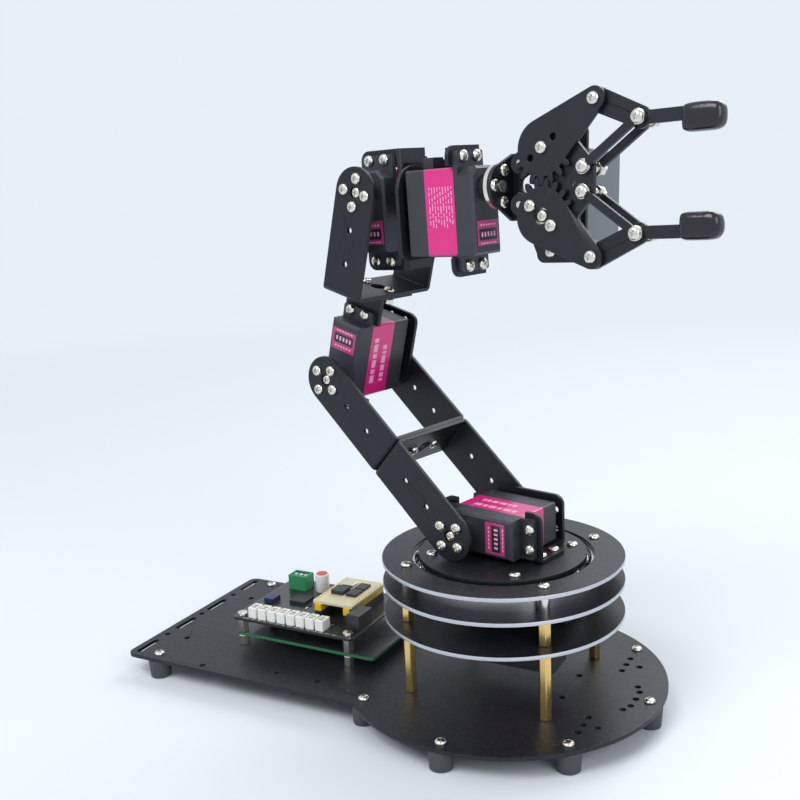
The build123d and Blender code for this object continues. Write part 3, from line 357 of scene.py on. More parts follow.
def bright_edges(tree, shader, colour):
    """The outer rims of the flat discs are bare metal: faces that look sideways, far from the waist axis."""
    tc = tree.nodes.new("ShaderNodeTexCoord")
    split = tree.nodes.new("ShaderNodeSeparateXYZ")
    tree.links.new(tc.outputs["Normal"], split.inputs[0])
    side = ramp(tree, math_node(tree, "ABSOLUTE", split.outputs["Z"]), 0.75, 0.45)
    spot = tree.nodes.new("ShaderNodeSeparateXYZ")
    tree.links.new(tc.outputs["Object"], spot.inputs[0])
    dx = math_node(tree, "SUBTRACT", spot.outputs["X"], JOINTS["waist"]["pos_m"][0])
    far = math_node(tree, "MULTIPLY_ADD", dx, dx, math_node(tree, "POWER", spot.outputs["Y"], 2.0))
    mask = math_node(tree, "MULTIPLY", side, ramp(tree, far, RIM_R ** 2, (RIM_R + 0.001) ** 2), clamp=True)
    old = shader.inputs["Base Color"].links[0].from_socket
    tree.links.new(mix(tree, mask, old, colour), shader.inputs["Base Color"])
    tree.links.new(math_node(tree, "MULTIPLY_ADD", mask, 0.6, 0.35), shader.inputs["Metallic"])


def green_sides(tree, shader, colour):
    """The cut edge of a board shows its resin."""
    split = tree.nodes.new("ShaderNodeSeparateXYZ")
    tree.links.new(tree.nodes.new("ShaderNodeTexCoord").outputs["Normal"], split.inputs[0])
    side = ramp(tree, math_node(tree, "ABSOLUTE", split.outputs["Z"]), 0.75, 0.45)
    old = shader.inputs["Base Color"].links[0].from_socket
    tree.links.new(mix(tree, side, old, colour), shader.inputs["Base Color"])


# ---- Materials ----

MATS = {}


def srgb(hexa):
    c = [int(hexa[i:i + 2], 16) / 255 for i in (0, 2, 4)]
    return tuple(x / 12.92 if x < 0.04045 else ((x + 0.055) / 1.055) ** 2.4 for x in c)


def make_materials(p):
    GROUPS.update(grain=grain_group(), scuffs=scuff_group(), dust=dust_group())
    MATS["sheet"] = skin("anodised_sheet", tuple(p.sheet_colour), 0.42, metal=0.35, grain=2600, depth=0.35,
                         worn=(0.14, 0.14, 0.15), scuffs=0.3, dust=0.09)[0]
    m, tree, shader = skin("anodised_disc", tuple(p.sheet_colour), 0.4, metal=0.35, grain=2600, depth=0.35,
                           worn=(0.14, 0.14, 0.15), scuffs=0.3, dust=0.12)
    bright_edges(tree, shader, (0.56, 0.57, 0.6))
    MATS["disc"] = m
    m, tree, shader = skin("lower_board_resin", srgb("20262A"), 0.35, coat=0.3, grain=800, depth=0.1,
                           scuffs=0.1, dust=0.15)
    green_sides(tree, shader, srgb("2F7A54"))
    MATS["green_edge"] = m
    MATS["cream"] = skin("cream_board", srgb("D9CFAE"), 0.45, grain=900, depth=0.1, scuffs=0.1, dust=0.1)[0]
    MATS["blue"] = skin("blue_nylon", srgb("1C2A52"), 0.4, grain=900, depth=0.2, scuffs=0.1, dust=0.1)[0]
    MATS["nickel"] = skin("nickel_plate", (0.72, 0.69, 0.62), 0.2, metal=1.0, grain=1200, depth=0.12,
                          scuffs=0.5, dust=0.05, cloud=0.08)[0]
    MATS["brass"] = skin("brass", (0.78, 0.55, 0.2), 0.24, metal=1.0, grain=1500, depth=0.15, scuffs=0.4,
                         dust=0.05, cloud=0.1)[0]
    MATS["steel"] = skin("ground_steel", (0.66, 0.67, 0.69), 0.25, metal=1.0, grain=1400, depth=0.15,
                         scuffs=0.4, dust=0.0, cloud=0.06)[0]
    MATS["case"] = skin("servo_case", srgb("2D3035"), 0.42, grain=1500, depth=0.5, scuffs=0.3, dust=0.12)[0]
    MATS["grey_case"] = skin("grey_servo_case", srgb("70777B"), 0.45, grain=1500, depth=0.4, scuffs=0.3,
                             dust=0.1)[0]
    MATS["wrap"] = skin("pink_wrap", tuple(p.wrap_colour), 0.3, coat=0.35, grain=900, depth=0.05,
                        scuffs=0.15, dust=0.05, cloud=0.1)[0]
    MATS["print"] = skin("pale_print", (0.88, 0.42, 0.64), 0.35, coat=0.3, grain=900, depth=0.05, scuffs=0.1,
                         dust=0.0)[0]
    MATS["label"] = skin("label_film", srgb("B83A78"), 0.35, coat=0.3, grain=900, depth=0.05, scuffs=0.1,
                         dust=0.0)[0]
    MATS["black_print"] = skin("black_print", (0.012, 0.01, 0.014), 0.35, coat=0.3, grain=900, depth=0.05,
                               scuffs=0.1, dust=0.0)[0]
    MATS["rubber"] = skin("foot_rubber", (0.05, 0.052, 0.058), 0.6, grain=700, depth=0.6, scuffs=0.2,
                          dust=0.35)[0]
    MATS["cap"] = skin("finger_rubber", (0.012, 0.008, 0.014), 0.15, coat=0.0, grain=260, depth=0.35,
                       scuffs=0.1, dust=0.05, cloud=0.3)[0]
    MATS["board"] = skin("board_resin", srgb("1B201D"), 0.35, coat=0.3, grain=800, depth=0.1, scuffs=0.1,
                         dust=0.15)[0]
    MATS["green"] = skin("green_resin", srgb("2F8B5B"), 0.4, grain=900, depth=0.2, scuffs=0.1, dust=0.1)[0]
    MATS["white"] = skin("white_nylon", (0.86, 0.86, 0.83), 0.4, grain=900, depth=0.2, scuffs=0.05, dust=0.1,
                         cloud=0.04)[0]
    MATS["yellow"] = skin("yellow_nylon", srgb("F0C419"), 0.42, grain=900, depth=0.2, scuffs=0.1, dust=0.1)[0]
    MATS["chip"] = skin("chip_resin", (0.02, 0.021, 0.024), 0.45, grain=1600, depth=0.4, scuffs=0.05,
                        dust=0.1)[0]
    MATS["gold"] = skin("gold_pin", (0.83, 0.6, 0.26), 0.22, metal=1.0, grain=1200, depth=0.1, scuffs=0.1,
                        dust=0.0)[0]
    MATS["silk"] = skin("board_print", (0.8, 0.8, 0.78), 0.5, grain=900, depth=0.1, scuffs=0.1, dust=0.0)[0]
    MATS["red"] = skin("red_mark", (0.62, 0.07, 0.06), 0.4, grain=900, depth=0.1, scuffs=0.1, dust=0.0)[0]


# ---- Screws, nuts and pins ----

def screw_head():
    """Domed pan head with a cross recess, underside at z = 0, for an M3 screw."""
    head = turned([(0, 0), (2.6, 0), (2.8, 0.18), (2.82, 0.6), (2.66, 1.05), (2.3, 1.45), (1.7, 1.75),
                   (0.9, 1.9), (0, 1.93)], 24)
    for turn in (0, math.pi / 2):
        cut = block(0, 0, 0.75, 2.9, 0.62, 2.0, soft=0)
        cut.data.transform(Matrix.Rotation(turn, 4, "Z"))
        m = head.modifiers.new("recess", "BOOLEAN")
        m.object, m.operation, m.solver = cut, "DIFFERENCE", "EXACT"
        settle(head)
        bin_master(cut)
    return smooth(head, 38)


def nut_master():
    """Hexagon nut with chamfered corners and a thread hole, 2.4 mm high."""
    nut = turned([(1.42, 0), (2.6, 0), (3.1, 0.28), (3.1, 2.12), (2.6, 2.4), (1.42, 2.4), (1.42, 0)], 24)
    clear()
    bpy.ops.mesh.primitive_cylinder_add(vertices=6, radius=3.12 * MM, depth=5 * MM)
    hexa = settle(bpy.context.object)
    m = nut.modifiers.new("flats", "BOOLEAN")
    m.object, m.operation, m.solver = hexa, "INTERSECT", "EXACT"
    settle(nut)
    bin_master(hexa)
    return smooth(nut, 30)


def thread(length):
    """Threaded shank from z = 0 down to -length, with a ridge every half millimetre."""
    profile = [(0, 0)]
    turns = max(2, int(length / 0.5))
    for k in range(turns):
        z = -length * k / turns
        profile += [(1.42, z), (1.2, z - length / turns / 2)]
    profile += [(1.1, -length), (0, -length)]
    return smooth(turned(profile, 12), 60)


def islands(node):
    """Separate solids of a CAD node as arrays of their corner points."""
    only(NODES[node])
    bpy.ops.object.duplicate()
    copy = bpy.context.object
    bpy.ops.object.mode_set(mode="EDIT")
    bpy.ops.mesh.select_all(action="SELECT")
    bpy.ops.mesh.remove_doubles(threshold=2e-6)
    bpy.ops.object.mode_set(mode="OBJECT")
    bm = bmesh.new()
    bm.from_mesh(copy.data)
    seen, out = set(), []
    for start in bm.verts:
        if start in seen:
            continue
        stack, found = [start], []
        seen.add(start)
        while stack:
            v = stack.pop()
            found.append(v)
            for e in v.link_edges:
                o = e.other_vert(v)
                if o not in seen:
                    seen.add(o)
                    stack.append(o)
        faces = {f for v in found for f in v.link_faces}
        out.append((np.array([v.co for v in found]), [(np.array(f.normal), f.calc_area()) for f in faces]))
    bm.free()
    bpy.data.objects.remove(copy)
    return out


def axis_of(points, faces):
    """Direction that most of the flat end faces look along."""
    tally = {}
    for n, area in faces:
        key = tuple(np.round(n, 2))
        tally[key] = tally.get(key, 0) + area
    best = np.array(max(tally, key=tally.get))
    best /= np.linalg.norm(best)
    same = [n for n, a in faces if np.dot(n, best) > 0.999]
    axis = np.mean(same, axis=0)
    return axis / np.linalg.norm(axis)


def frame_at(origin, z_axis):
    z = Vector(z_axis).normalized()
    x = Vector((0.31, 0.87, 0.38)).cross(z).normalized()
    m = Matrix((x, z.cross(x), z)).transposed().to_4x4()
    m.translation = Vector(origin)
    return m


def read_fasteners(node):
    """Axis, ends, and place of the head and the nut of every solid of a node, in metres."""
    found = []
    for pts, faces in islands(node):
        a = axis_of(pts, faces)
        t = pts @ a
        top = pts[t > t.max() - 1e-5]
        mid = (top.max(0) + top.min(0)) / 2
        r = np.linalg.norm((pts - mid) - np.outer((pts - mid) @ a, a), axis=1)
        head = pts[abs(r - HEAD_R * MM) < FIT * MM]
        nut = pts[abs(r - NUT_R * MM) < FIT * MM]
        item = {"axis": a, "mid": mid, "low": t.min(), "high": t.max(), "t0": mid @ a}
        item["head"] = (head @ a).min() if len(head) >= 24 else None
        item["nut"] = (nut @ a).min() if len(nut) >= 12 else None
        found.append(item)
    return found


def fasteners(node, masters):
    """Detailed copies of every screw and nut of a node, and the solids that are neither."""
    head, nut = masters
    parts = []
    items = read_fasteners(node)
    long_ones = [i for i in items if i["head"] is not None and i["high"] - i["low"] > 2.2 * MM]
    for i in items:
        a, mid, t0 = i["axis"], i["mid"], i["t0"]
        if i["head"] is not None:
            low_side = i["head"] - i["low"]
            high_side = i["high"] - (i["head"] + HEAD_H * MM)
            if max(low_side, high_side) < 1e-4 and long_ones:
                near = min(long_ones, key=lambda q: np.linalg.norm(q["mid"] - mid))
                up = near["up"] if "up" in near else near["axis"]
                s = 1 if np.dot(up, a) > 0 else -1
            else:
                s = 1 if low_side > high_side else -1
            i["up"] = a * s
            seat = i["head"] if s > 0 else i["head"] + HEAD_H * MM
            spot = mid + a * (seat - t0)
            parts.append(place(head, frame_at(spot, a * s)))
            length = (low_side if s > 0 else high_side) / MM
            if length > 0.3:
                shank = thread(length)
                shank.data.transform(frame_at(spot, a * s))
                parts.append(shank)
        if i["nut"] is not None:
            parts.append(place(nut, frame_at(mid + a * (i["nut"] - t0), a)))
    return parts, [i for i in items if i["head"] is None and i["nut"] is None]


# ---- Servo detail, drawn with the output shaft along z and the case floor at z = 0 ----

def servo_frame(housing, joint, side):
    """Matrix from servo drawing space to the row frame."""
    j = JOINTS[joint]
    a = Vector(j["axis"]).normalized() * side
    p = Vector(j["pos_m"])
    co = [v.co for v in NODES[housing].data.vertices]
    low = min((c - p).dot(a) for c in co)
    origin = p + a * (low - 11 * MM)
    mid = sum(co, Vector()) / len(co) - origin
    x = (mid - a * mid.dot(a)).normalized()
    m = Matrix((x, a.cross(x), a)).transposed().to_4x4()
    m.translation = origin
    return m


def servo_label():
    """Small film label on the servo's top: a pink border, a black strip and plain pale bars."""
    film = block(20.2, 0, 38.5, 11.4, 16.0, 0.12, soft=0)
    paint(film, MATS["label"])
    strip = block(20.9, 0, 38.62, 5.2, 13.4, 0.06, soft=0)
    paint(strip, MATS["black_print"])
    bars = [film, strip]
    for k in range(5):
        bar = block(20.9, -4.6 + 2.3 * k, 38.68, 2.1, 1.1, 0.04, soft=0)
        bars.append(paint(bar, MATS["print"]))
    for k in range(6):
        bar = block(16.6, -5 + 2.0 * k, 38.62, 0.8, 1.2, 0.05, soft=0)
        bars.append(paint(bar, MATS["print"]))
        bar = block(24.9, -5 + 2.0 * k, 38.62, 0.6, 1.4, 0.05, soft=0)
        bars.append(paint(bar, MATS["print"]))
    return merge(bars, "servo_label_master")


def servo_extras():
    """Four screws in the floor of a servo's case."""
    parts = []
    for x in (-7.6, 27.6):
        for y in (-7.6, 7.6):
            s = rod(x, y, -0.35, 1.25, 0.7, sides=16, soft=0.15)
            parts.append(paint(s, MATS["nickel"]))
    return merge(parts, "servo_screw_master")


def wrap_print(rows, columns, high, start, end):
    """Pale marks printed on the two long sides of the housing wrap, in rows with uneven lengths."""
    dash = block(0, 0, -0.5, 1, 1, 1, soft=0)
    parts = []
    for side in (-1, 1):
        for row in range(rows):
            x = start
            for k in range(columns):
                long = (0.55 + 0.25 * ((k * 5 + row * 7 + k * row) % 4)) * (end - start) / columns
                z = 12.6 + (row + 0.5) * 14.6 / rows
                size = Matrix.Diagonal((long - 0.7, 0.05, high, 1))
                parts.append(place(dash, Matrix.Translation(
                    Vector(((x + long / 2) * MM, side * 10.03 * MM, z * MM))) @ size))
                x += long + 0.35
                if x > end:
                    break
    bin_master(dash)
    return paint(merge(parts, "wrap_print_master"), MATS["print"])


# ---- Boards ----

def solid_boxes(node):
    """Lowest and highest corner of every solid of a node in millimetres, and how many points it has."""
    return [(pts.min(0) / MM, pts.max(0) / MM, len(pts)) for pts, _ in islands(node)]


def filled(lo, hi, mat, soft=0.3):
    """Rounded box that fills the space between two corners."""
    mid, size = (lo + hi) / 2, hi - lo
    return paint(block(mid[0], mid[1], lo[2], *size, soft=soft), MATS[mat])


def at(mid, x, y, z, dx, dy, dz, mat, soft=0.1):
    """Small box beside a middle point, with its foot at height z."""
    return paint(block(mid[0] + x, mid[1] + y, z, dx, dy, dz, soft=soft), MATS[mat])


def hollow(obj, wall, depth):
    """Press a recess into the widest upward face."""
    only(obj)
    bpy.ops.object.mode_set(mode="EDIT")
    bpy.ops.mesh.select_mode(type="FACE")
    bpy.ops.mesh.select_all(action="DESELECT")
    bm = bmesh.from_edit_mesh(obj.data)
    top = max((f for f in bm.faces if f.normal.z > 0.99), key=lambda f: f.calc_area())
    top.select_set(True)
    bmesh.update_edit_mesh(obj.data)
    bpy.ops.mesh.inset(thickness=wall * MM)
    bpy.ops.mesh.extrude_region_move(TRANSFORM_OT_translate={"value": (0, 0, -depth * MM)})
    bpy.ops.object.mode_set(mode="OBJECT")
    return obj


# ---- Gripper arms ----

def loose_copies(node):
    """The solids of a CAD node as separate merged copies."""
    only(NODES[node])
    bpy.ops.object.duplicate()
    for m in list(bpy.context.object.modifiers):
        bpy.context.object.modifiers.remove(m)
    bpy.ops.object.mode_set(mode="EDIT")
    bpy.ops.mesh.select_all(action="SELECT")
    bpy.ops.mesh.remove_doubles(threshold=2e-6)
    bpy.ops.mesh.separate(type="LOOSE")
    bpy.ops.object.mode_set(mode="OBJECT")
    return list(bpy.context.selected_objects)


def bright_pins(obj, axis, spots):
    """Faces that lie within a pin's head or nut take the second material."""
    a = Vector(axis).normalized()
    co = [v.co for v in obj.data.vertices]
    for f in obj.data.polygons:
        for spot in spots:
            away = [co[i] - spot for i in f.vertices]
            if all((d - a * d.dot(a)).length < PIN_REACH for d in away):
                f.material_index = 1


def dome_heads(obj, axis, spots, head, reach=None):
    """Take the flat top off every pin head of a copy and return domed heads that go there.

    Reach is the lowest and highest place along the axis of the solid whose head is wanted."""
    a = Vector(axis).normalized()
    out = []
    for spot in spots:
        bm = bmesh.new()
        bm.from_mesh(obj.data)
        ring = []
        for v in bm.verts:
            d = v.co - spot
            inside = not reach or reach[0] - 1e-5 < v.co.dot(a) < reach[1] + 1e-5
            if inside and abs((d - a * d.dot(a)).length - HEAD_R * MM) < FIT * MM:
                ring.append((v.co.dot(a), v))
        if len(ring) >= 24:
            low, high = min(ring, key=lambda q: q[0])[0], max(ring, key=lambda q: q[0])[0]
            body = sum(reach) / 2 if reach else sum(v.co.dot(a) for v in bm.verts) / len(bm.verts)
            up = (low + high) / 2 > body
            top, seat = (high, low) if up else (low, high)
            if 1.5 * MM < high - low < 2.4 * MM:
                cut = [v for t, v in ring if abs(t - top) < 0.02 * MM]
                bmesh.ops.delete(bm, geom=cut, context="VERTS")
                bm.to_mesh(obj.data)
                centre = Vector(spot) + a * (seat - Vector(spot).dot(a))
                out.append(place(head, frame_at(centre, a if up else -a)))
        bm.free()
    return out


# ---- The pieces ----

class ROBOTARM_PG_sizes(bpy.types.PropertyGroup):
    sheet_colour: bpy.props.FloatVectorProperty(
        name="Sheet colour", description="Colour of the anodised sheet parts", subtype="COLOR", size=3,
        min=0, max=1, default=srgb("1B1D23"))
    wrap_colour: bpy.props.FloatVectorProperty(
        name="Wrap colour", description="Colour of the film round the servo housings", subtype="COLOR",
        size=3, min=0, max=1, default=srgb("DC1E7E"))
    edge_round: bpy.props.FloatProperty(
        name="Edge rounding", description="Rounding of the sheet's cut edges", subtype="DISTANCE",
        unit="LENGTH", default=0.00022, min=0, max=0.0006)
    floor_colour: bpy.props.FloatVectorProperty(
        name="Floor colour", description="Colour of the floor and background", subtype="COLOR", size=3,
        min=0, max=1, default=(0.84, 0.885, 0.94))


SHEETS = ("shoulder_bracket", "lower_arm_bracket", "upper_arm_bracket", "elbow_bracket", "forearm_bracket",
          "wrist_bracket", "wrist_angle_bracket", "roll_bracket", "gripper_frame", "gripper_front_plate")
DISCS = ("lower_disc", "middle_disc", "top_ring")
PLATES = ("base_plate", "turntable_plate")


def soften(node, width):
    """Give a CAD node's cut edges a small rounding without touching its mesh."""
    obj = NODES[node]
    weld = obj.modifiers.new("weld", "WELD")
    weld.merge_threshold = 2e-6
    m = obj.modifiers.new("edge", "BEVEL")
    m.width, m.segments, m.limit_method = width, 2, "ANGLE"
    m.angle_limit = math.radians(50)
    m.use_clamp_overlap = True


class ROBOTARM_OT_materials(bpy.types.Operator):
    """Make the finishes and lay them on the pieces that keep their solid shape"""
    bl_idname = "robotarm.materials"
    bl_label = "Finishes"

    def execute(self, context):
        p = context.scene.robot_arm
        make_materials(p)
        for n in SHEETS:
            paint(NODES[n], MATS["sheet"])
            soften(n, p.edge_round)
        for n in DISCS + PLATES:
            paint(NODES[n], MATS["disc" if n in DISCS else "sheet"])
            soften(n, p.edge_round)
        plain = {
            "brass": ("long_standoffs", "mid_standoffs"),
            "nickel": ("ring_spacers", "arm_horns", "wrist_horn", "roll_horn", "gripper_horn",
                       "board_standoffs"),
            "steel": ("bearing_outer_race", "bearing_inner_race", "bearing_balls", "clamp_ring",
                      "waist_horn"),
            "case": ("waist_servo_covers", "shoulder_servo_covers", "elbow_servo_covers",
                     "wrist_servo_covers"),
            "grey_case": ("gripper_servo_covers", "gripper_servo_housing"),
            "wrap": ("shoulder_servo_housing", "elbow_servo_housing", "wrist_servo_housing",
                     "roll_servo_housing", "waist_servo_housing"),
            "rubber": ("rubber_feet",),
            "sheet": ("drive_gear_arm", "idler_gear_arm", "upper_finger", "lower_finger", "upper_link",
                      "lower_link"),
            "board": ("expansion_board", "radio_module", "board_components"),
            "white": ("servo_connectors",),
            "yellow": ("yellow_socket",),
            "cap": ("upper_tip_cap", "lower_tip_cap"),
            "green_edge": ("controller_board",),
        }
        for mat, names in plain.items():
            for n in names:
                paint(NODES[n], MATS[mat])
        for n in ("long_standoffs", "mid_standoffs", "rubber_feet", "board_standoffs"):
            soften(n, 0.0004)
        for n in ("expansion_board", "controller_board"):
            soften(n, p.edge_round)
        return {"FINISHED"}


class ROBOTARM_OT_fasteners(bpy.types.Operator):
    """Model the domed cross-recess screws, their threads and nuts at every screw of the frame"""
    bl_idname = "robotarm.fasteners"
    bl_label = "Screws and nuts"

    def execute(self, context):
        head, nut = screw_head(), nut_master()
        for node in ("base_screws", "turntable_screws", "arm_screws", "forearm_screws", "wrist_screws"):
            parts, rest = fasteners(node, (head, nut))
            if not parts:
                raise RuntimeError("no screws found in " + node)
            for i in rest:
                a, mid, t0 = i["axis"], i["mid"], i["t0"]
                length = (i["high"] - i["low"]) / MM
                wall = [(1.56, 0), (3.99, 0), (3.99, length), (1.56, length), (1.56, 0)]
                bush = smooth(turned(wall, 24), 40)
                bush.data.transform(frame_at(mid + a * (i["low"] - t0), a))
                parts.append(bush)
            piece = merge(parts, node + "_detail")
            dress(piece, MATS["nickel"], BODY_OF[node], "nickel", node)
        axis = JOINTS["gripper_drive"]["axis"]
        for node, side in (("drive_gear_arm", "lower"), ("idler_gear_arm", "upper")):
            copies = loose_copies(node)
            big = max(copies, key=lambda c: max(c.dimensions))
            small = [c for c in copies if c is not big]
            parts, rest = fasteners(node, (head, nut))
            if not parts:
                raise RuntimeError("no screws found in " + node)
            plate = merge([big], node + "_plate")
            ends = [Vector(JOINTS[side + "_jaw_hinge"]["pos_m"])]
            bin_master(*dome_heads(plate, axis, ends, head))
            bevel(plate, 0.2, 2, 50)
            paint(plate, MATS["sheet"], MATS["nickel"])
            bright_pins(plate, axis, ends)
            dress(plate, None, BODY_OF[node], "anodised_sheet", node)
            screws = merge(parts, node + "_screws")
            dress(screws, MATS["nickel"], BODY_OF[node], "nickel")
            bin_master(*small)
        pins = {}
        for side, gear in (("upper", "gripper_idler"), ("lower", "gripper_drive")):
            hub, end = Vector(JOINTS[gear]["pos_m"]), Vector(JOINTS[side + "_jaw_hinge"]["pos_m"])
            root = Vector(JOINTS[side + "_bar_hinge"]["pos_m"])
            pins[side + "_link"] = [root, root + end - hub]
            pins[side + "_finger"] = [end, root + end - hub]
        for node, spots in pins.items():
            piece = merge(loose_copies(node), node + "_plate")
            domes = dome_heads(piece, axis, spots, head)
            bevel(piece, 0.15, 2, 50)
            paint(piece, MATS["sheet"], MATS["nickel"])
            bright_pins(piece, axis, spots)
            dress(piece, None, BODY_OF[node], "anodised_sheet", node)
            if domes:
                dress(merge(domes, node + "_heads"), MATS["nickel"], BODY_OF[node], "nickel")
        found = [i for i in read_fasteners("gripper_spacers") if i["head"] is not None]
        piece, domes = merge(loose_copies("gripper_spacers"), "gripper_spacers_plain"), []
        for i in found:
            domes += dome_heads(piece, i["axis"], [Vector(i["mid"])], head, (i["low"], i["high"]))
        bevel(piece, 0.15, 2, 50)
        dress(piece, MATS["nickel"], "gripper", "nickel", "gripper_spacers")
        if domes:
            dress(merge(domes, "gripper_spacers_heads"), MATS["nickel"], "gripper", "nickel")
        for node in ("upper_tip_cap", "lower_tip_cap"):
            piece = merge(loose_copies(node), node + "_sleeve")
            m = piece.modifiers.new("even", "REMESH")
            m.mode, m.voxel_size = "VOXEL", 0.55 * MM
            m = piece.modifiers.new("soft", "SMOOTH")
            m.factor, m.iterations = 0.5, 130
            settle(piece)
            smooth(piece, 180)
            dress(piece, MATS["cap"], BODY_OF[node], "tip_rubber", node)
        bin_master(head, nut)
        return {"FINISHED"}


class ROBOTARM_OT_electronics(bpy.types.Operator):
    """Model the connectors, headers, chips and small parts of the two control boards"""
    bl_idname = "robotarm.electronics"
    bl_label = "Control electronics"

    def execute(self, context):
        parts = []
        for lo, hi, _ in solid_boxes("servo_connectors"):
            parts.append(hollow(filled(lo, hi, "white", 0.25), 0.6, 4.4))
            mid = (lo + hi) / 2
            for k in (-1, 0, 1):
                parts.append(at(mid, 0, 2.2 * k, lo[2] + 1.2, 0.64, 0.64, 4.2, "gold"))
                parts.append(at(mid, 0, 2.2 * k, hi[2] - 0.5, 3.9, 0.35, 0.45, "white", 0))
        dress(merge(parts, "servo_connectors_detail"), None, "base", "connector_white", "servo_connectors")
        parts = []
        for lo, hi, _ in solid_boxes("yellow_socket"):
            mid = (lo + hi) / 2
            parts.append(filled(lo, np.array((hi[0], hi[1], lo[2] + 4.6)), "chip", 0.15))
            parts.append(filled(np.array((lo[0], lo[1], lo[2] + 4.6)), hi, "yellow", 0.2))
            for k in range(15):
                y = (k - 7) * 2.54
                for s in (-1, 1):
                    parts.append(at(mid, s * 1.98, y, lo[2] + 0.4, 0.03, 1.5, 3.6, "black_print", 0))
        dress(merge(parts, "header_rows_detail"), None, "base", "socket_yellow", "yellow_socket")
        flat, tall = sorted(solid_boxes("radio_module"), key=lambda b: b[0][2])
        mid, top = (tall[0] + tall[1]) / 2, flat[1][2]
        parts = [filled(flat[0], flat[1], "cream", 0.2)]
        for x, y, dx, dy, dz, mat in ((-3.9, -4.6, 7.8, 8.4, 2.4, "chip"), (4.7, -4.6, 6.2, 8.2, 1.6, "chip"),
                                      (-3.9, 5.2, 7.6, 7.0, 2.0, "nickel"),
                                      (4.7, 4.8, 6.0, 7.8, 1.4, "chip")):
            parts.append(at(mid, x, y, top, dx, dy, dz, mat, 0.15))
        for k in range(13):
            for s in (-1, 1):
                middle = (flat[0] + flat[1]) / 2
                parts.append(at(middle, s * 11.2, (k - 6) * 2.54, top, 0.9, 0.9, 0.5, "gold"))
        dress(merge(parts, "radio_module_detail"), None, "base", "board_black", "radio_module")
        dress(merge(self.components(), "board_components_detail"), None, "base", "board_black",
              "board_components")
        lo, hi, _ = solid_boxes("expansion_board")[0]
        mid, parts = (lo + hi) / 2, []
        for k in range(15):
            wide = 1.6 if k % 3 else 2.4
            parts.append(at(mid, -28 + 4.0 * k, lo[1] - mid[1] + 11.6, hi[2], wide, 1.0, 0.5,
                            "nickel" if k % 4 == 0 else "chip", 0.08))
            parts.append(at(mid, -29 + 4.0 * k, lo[1] - mid[1] + 1.0, hi[2], 2.2, 0.25, 0.03, "silk", 0))
        for k in range(7):
            mat = "chip" if k % 2 else "nickel"
            parts.append(at(mid, -5.5, -6 + 4.2 * k, hi[2], 1.0, 2.0, 0.6, mat, 0.08))
        dress(merge(parts, "board_marks"), None, "base", "board_black")
        return {"FINISHED"}

    def components(self):
        parts = []
        for lo, hi, points in solid_boxes("board_components"):
            size, mid = hi - lo, (lo + hi) / 2
            if points > 20:
                radius = min(size[0], size[1]) / 2
                can = rod(mid[0], mid[1], lo[2], radius, size[2] - 0.4, 32, 0.5)
                cap = rod(mid[0], mid[1], hi[2] - 0.42, radius * 0.8, 0.42, 32, 0.1)
                parts += [paint(smooth(can), MATS["white"]), paint(cap, MATS["red"])]
            elif size[0] > 30:
                split = lo[0] + size[0] * 0.66
                left, right = hi.copy(), lo.copy()
                left[0], right[0] = split - 0.1, split + 0.1
                parts += [filled(lo, left, "chip", 0.4), filled(right, hi, "chip", 0.4)]
                for k in range(3):
                    parts.append(at(lo, 7.0 + 5 * k, 0.0, lo[2] + 2.0, 1.6, 0.06, 1.8, "silk", 0))
            elif size[1] > 13 and size[2] > 8:
                parts.append(filled(lo, hi, "chip", 0.5))
            elif size[2] > 8:
                parts.append(hollow(filled(lo, hi, "green", 0.3), 0.9, 1.2))
                for k in (-1, 0, 1):
                    parts.append(paint(rod(mid[0] + 3.4 * k, mid[1], hi[2] - 1.2, 1.3, 0.8, 20, 0.15),
                                       MATS["nickel"]))
            elif size[2] < 2.5:
                parts.append(filled(lo, hi, "chip", 0.15))
                for k in range(7):
                    for s in (-1, 1):
                        parts.append(at(mid, s * (size[0] / 2 - 0.02), (k - 3) * 1.27, lo[2], 0.04, 0.5, 0.8,
                                        "nickel", 0))
            else:
                parts.append(filled(lo, hi, "blue", 0.3))
        return parts


# Housing, joint on its shaft, which way the shaft points along the joint's axis, and body
SERVOS = (("waist_servo_housing", "waist", 1, "base"),
          ("shoulder_servo_housing", "shoulder", -1, "turntable"),
          ("elbow_servo_housing", "elbow", -1, "forearm"),
          ("wrist_servo_housing", "wrist_pitch", -1, "wrist"),
          ("roll_servo_housing", "wrist_roll", 1, "wrist"),
          ("gripper_servo_housing", "gripper_drive", -1, "gripper"))


class ROBOTARM_OT_servos(bpy.types.Operator):
    """Add the case screws to the six servos, and the film labels and printed bars to all but the gripper's"""
    bl_idname = "robotarm.servos"
    bl_label = "Servo details"

    def execute(self, context):
        label, screws = servo_label(), servo_extras()
        prints = {"lines": wrap_print(9, 6, 0.45, -2.0, 17.0), "shapes": wrap_print(2, 6, 3.0, -3.0, 20.0)}
        for housing, joint, side, body in SERVOS:
            m = servo_frame(housing, joint, side)
            stem = housing.replace("_servo_housing", "")
            piece = place(screws, m)
            piece.name = stem + "_case_screws"
            dress(piece, None, body, "nickel")
            if stem != "gripper":
                piece = place(label, m)
                piece.name = stem + "_label"
                dress(piece, None, body, "pink_housing")
                piece = place(prints["lines" if stem in ("roll", "wrist") else "shapes"], m)
                piece.name = stem + "_wrap_print"
                dress(piece, None, body, "pink_housing")
        bin_master(label, screws, *prints.values())
        return {"FINISHED"}


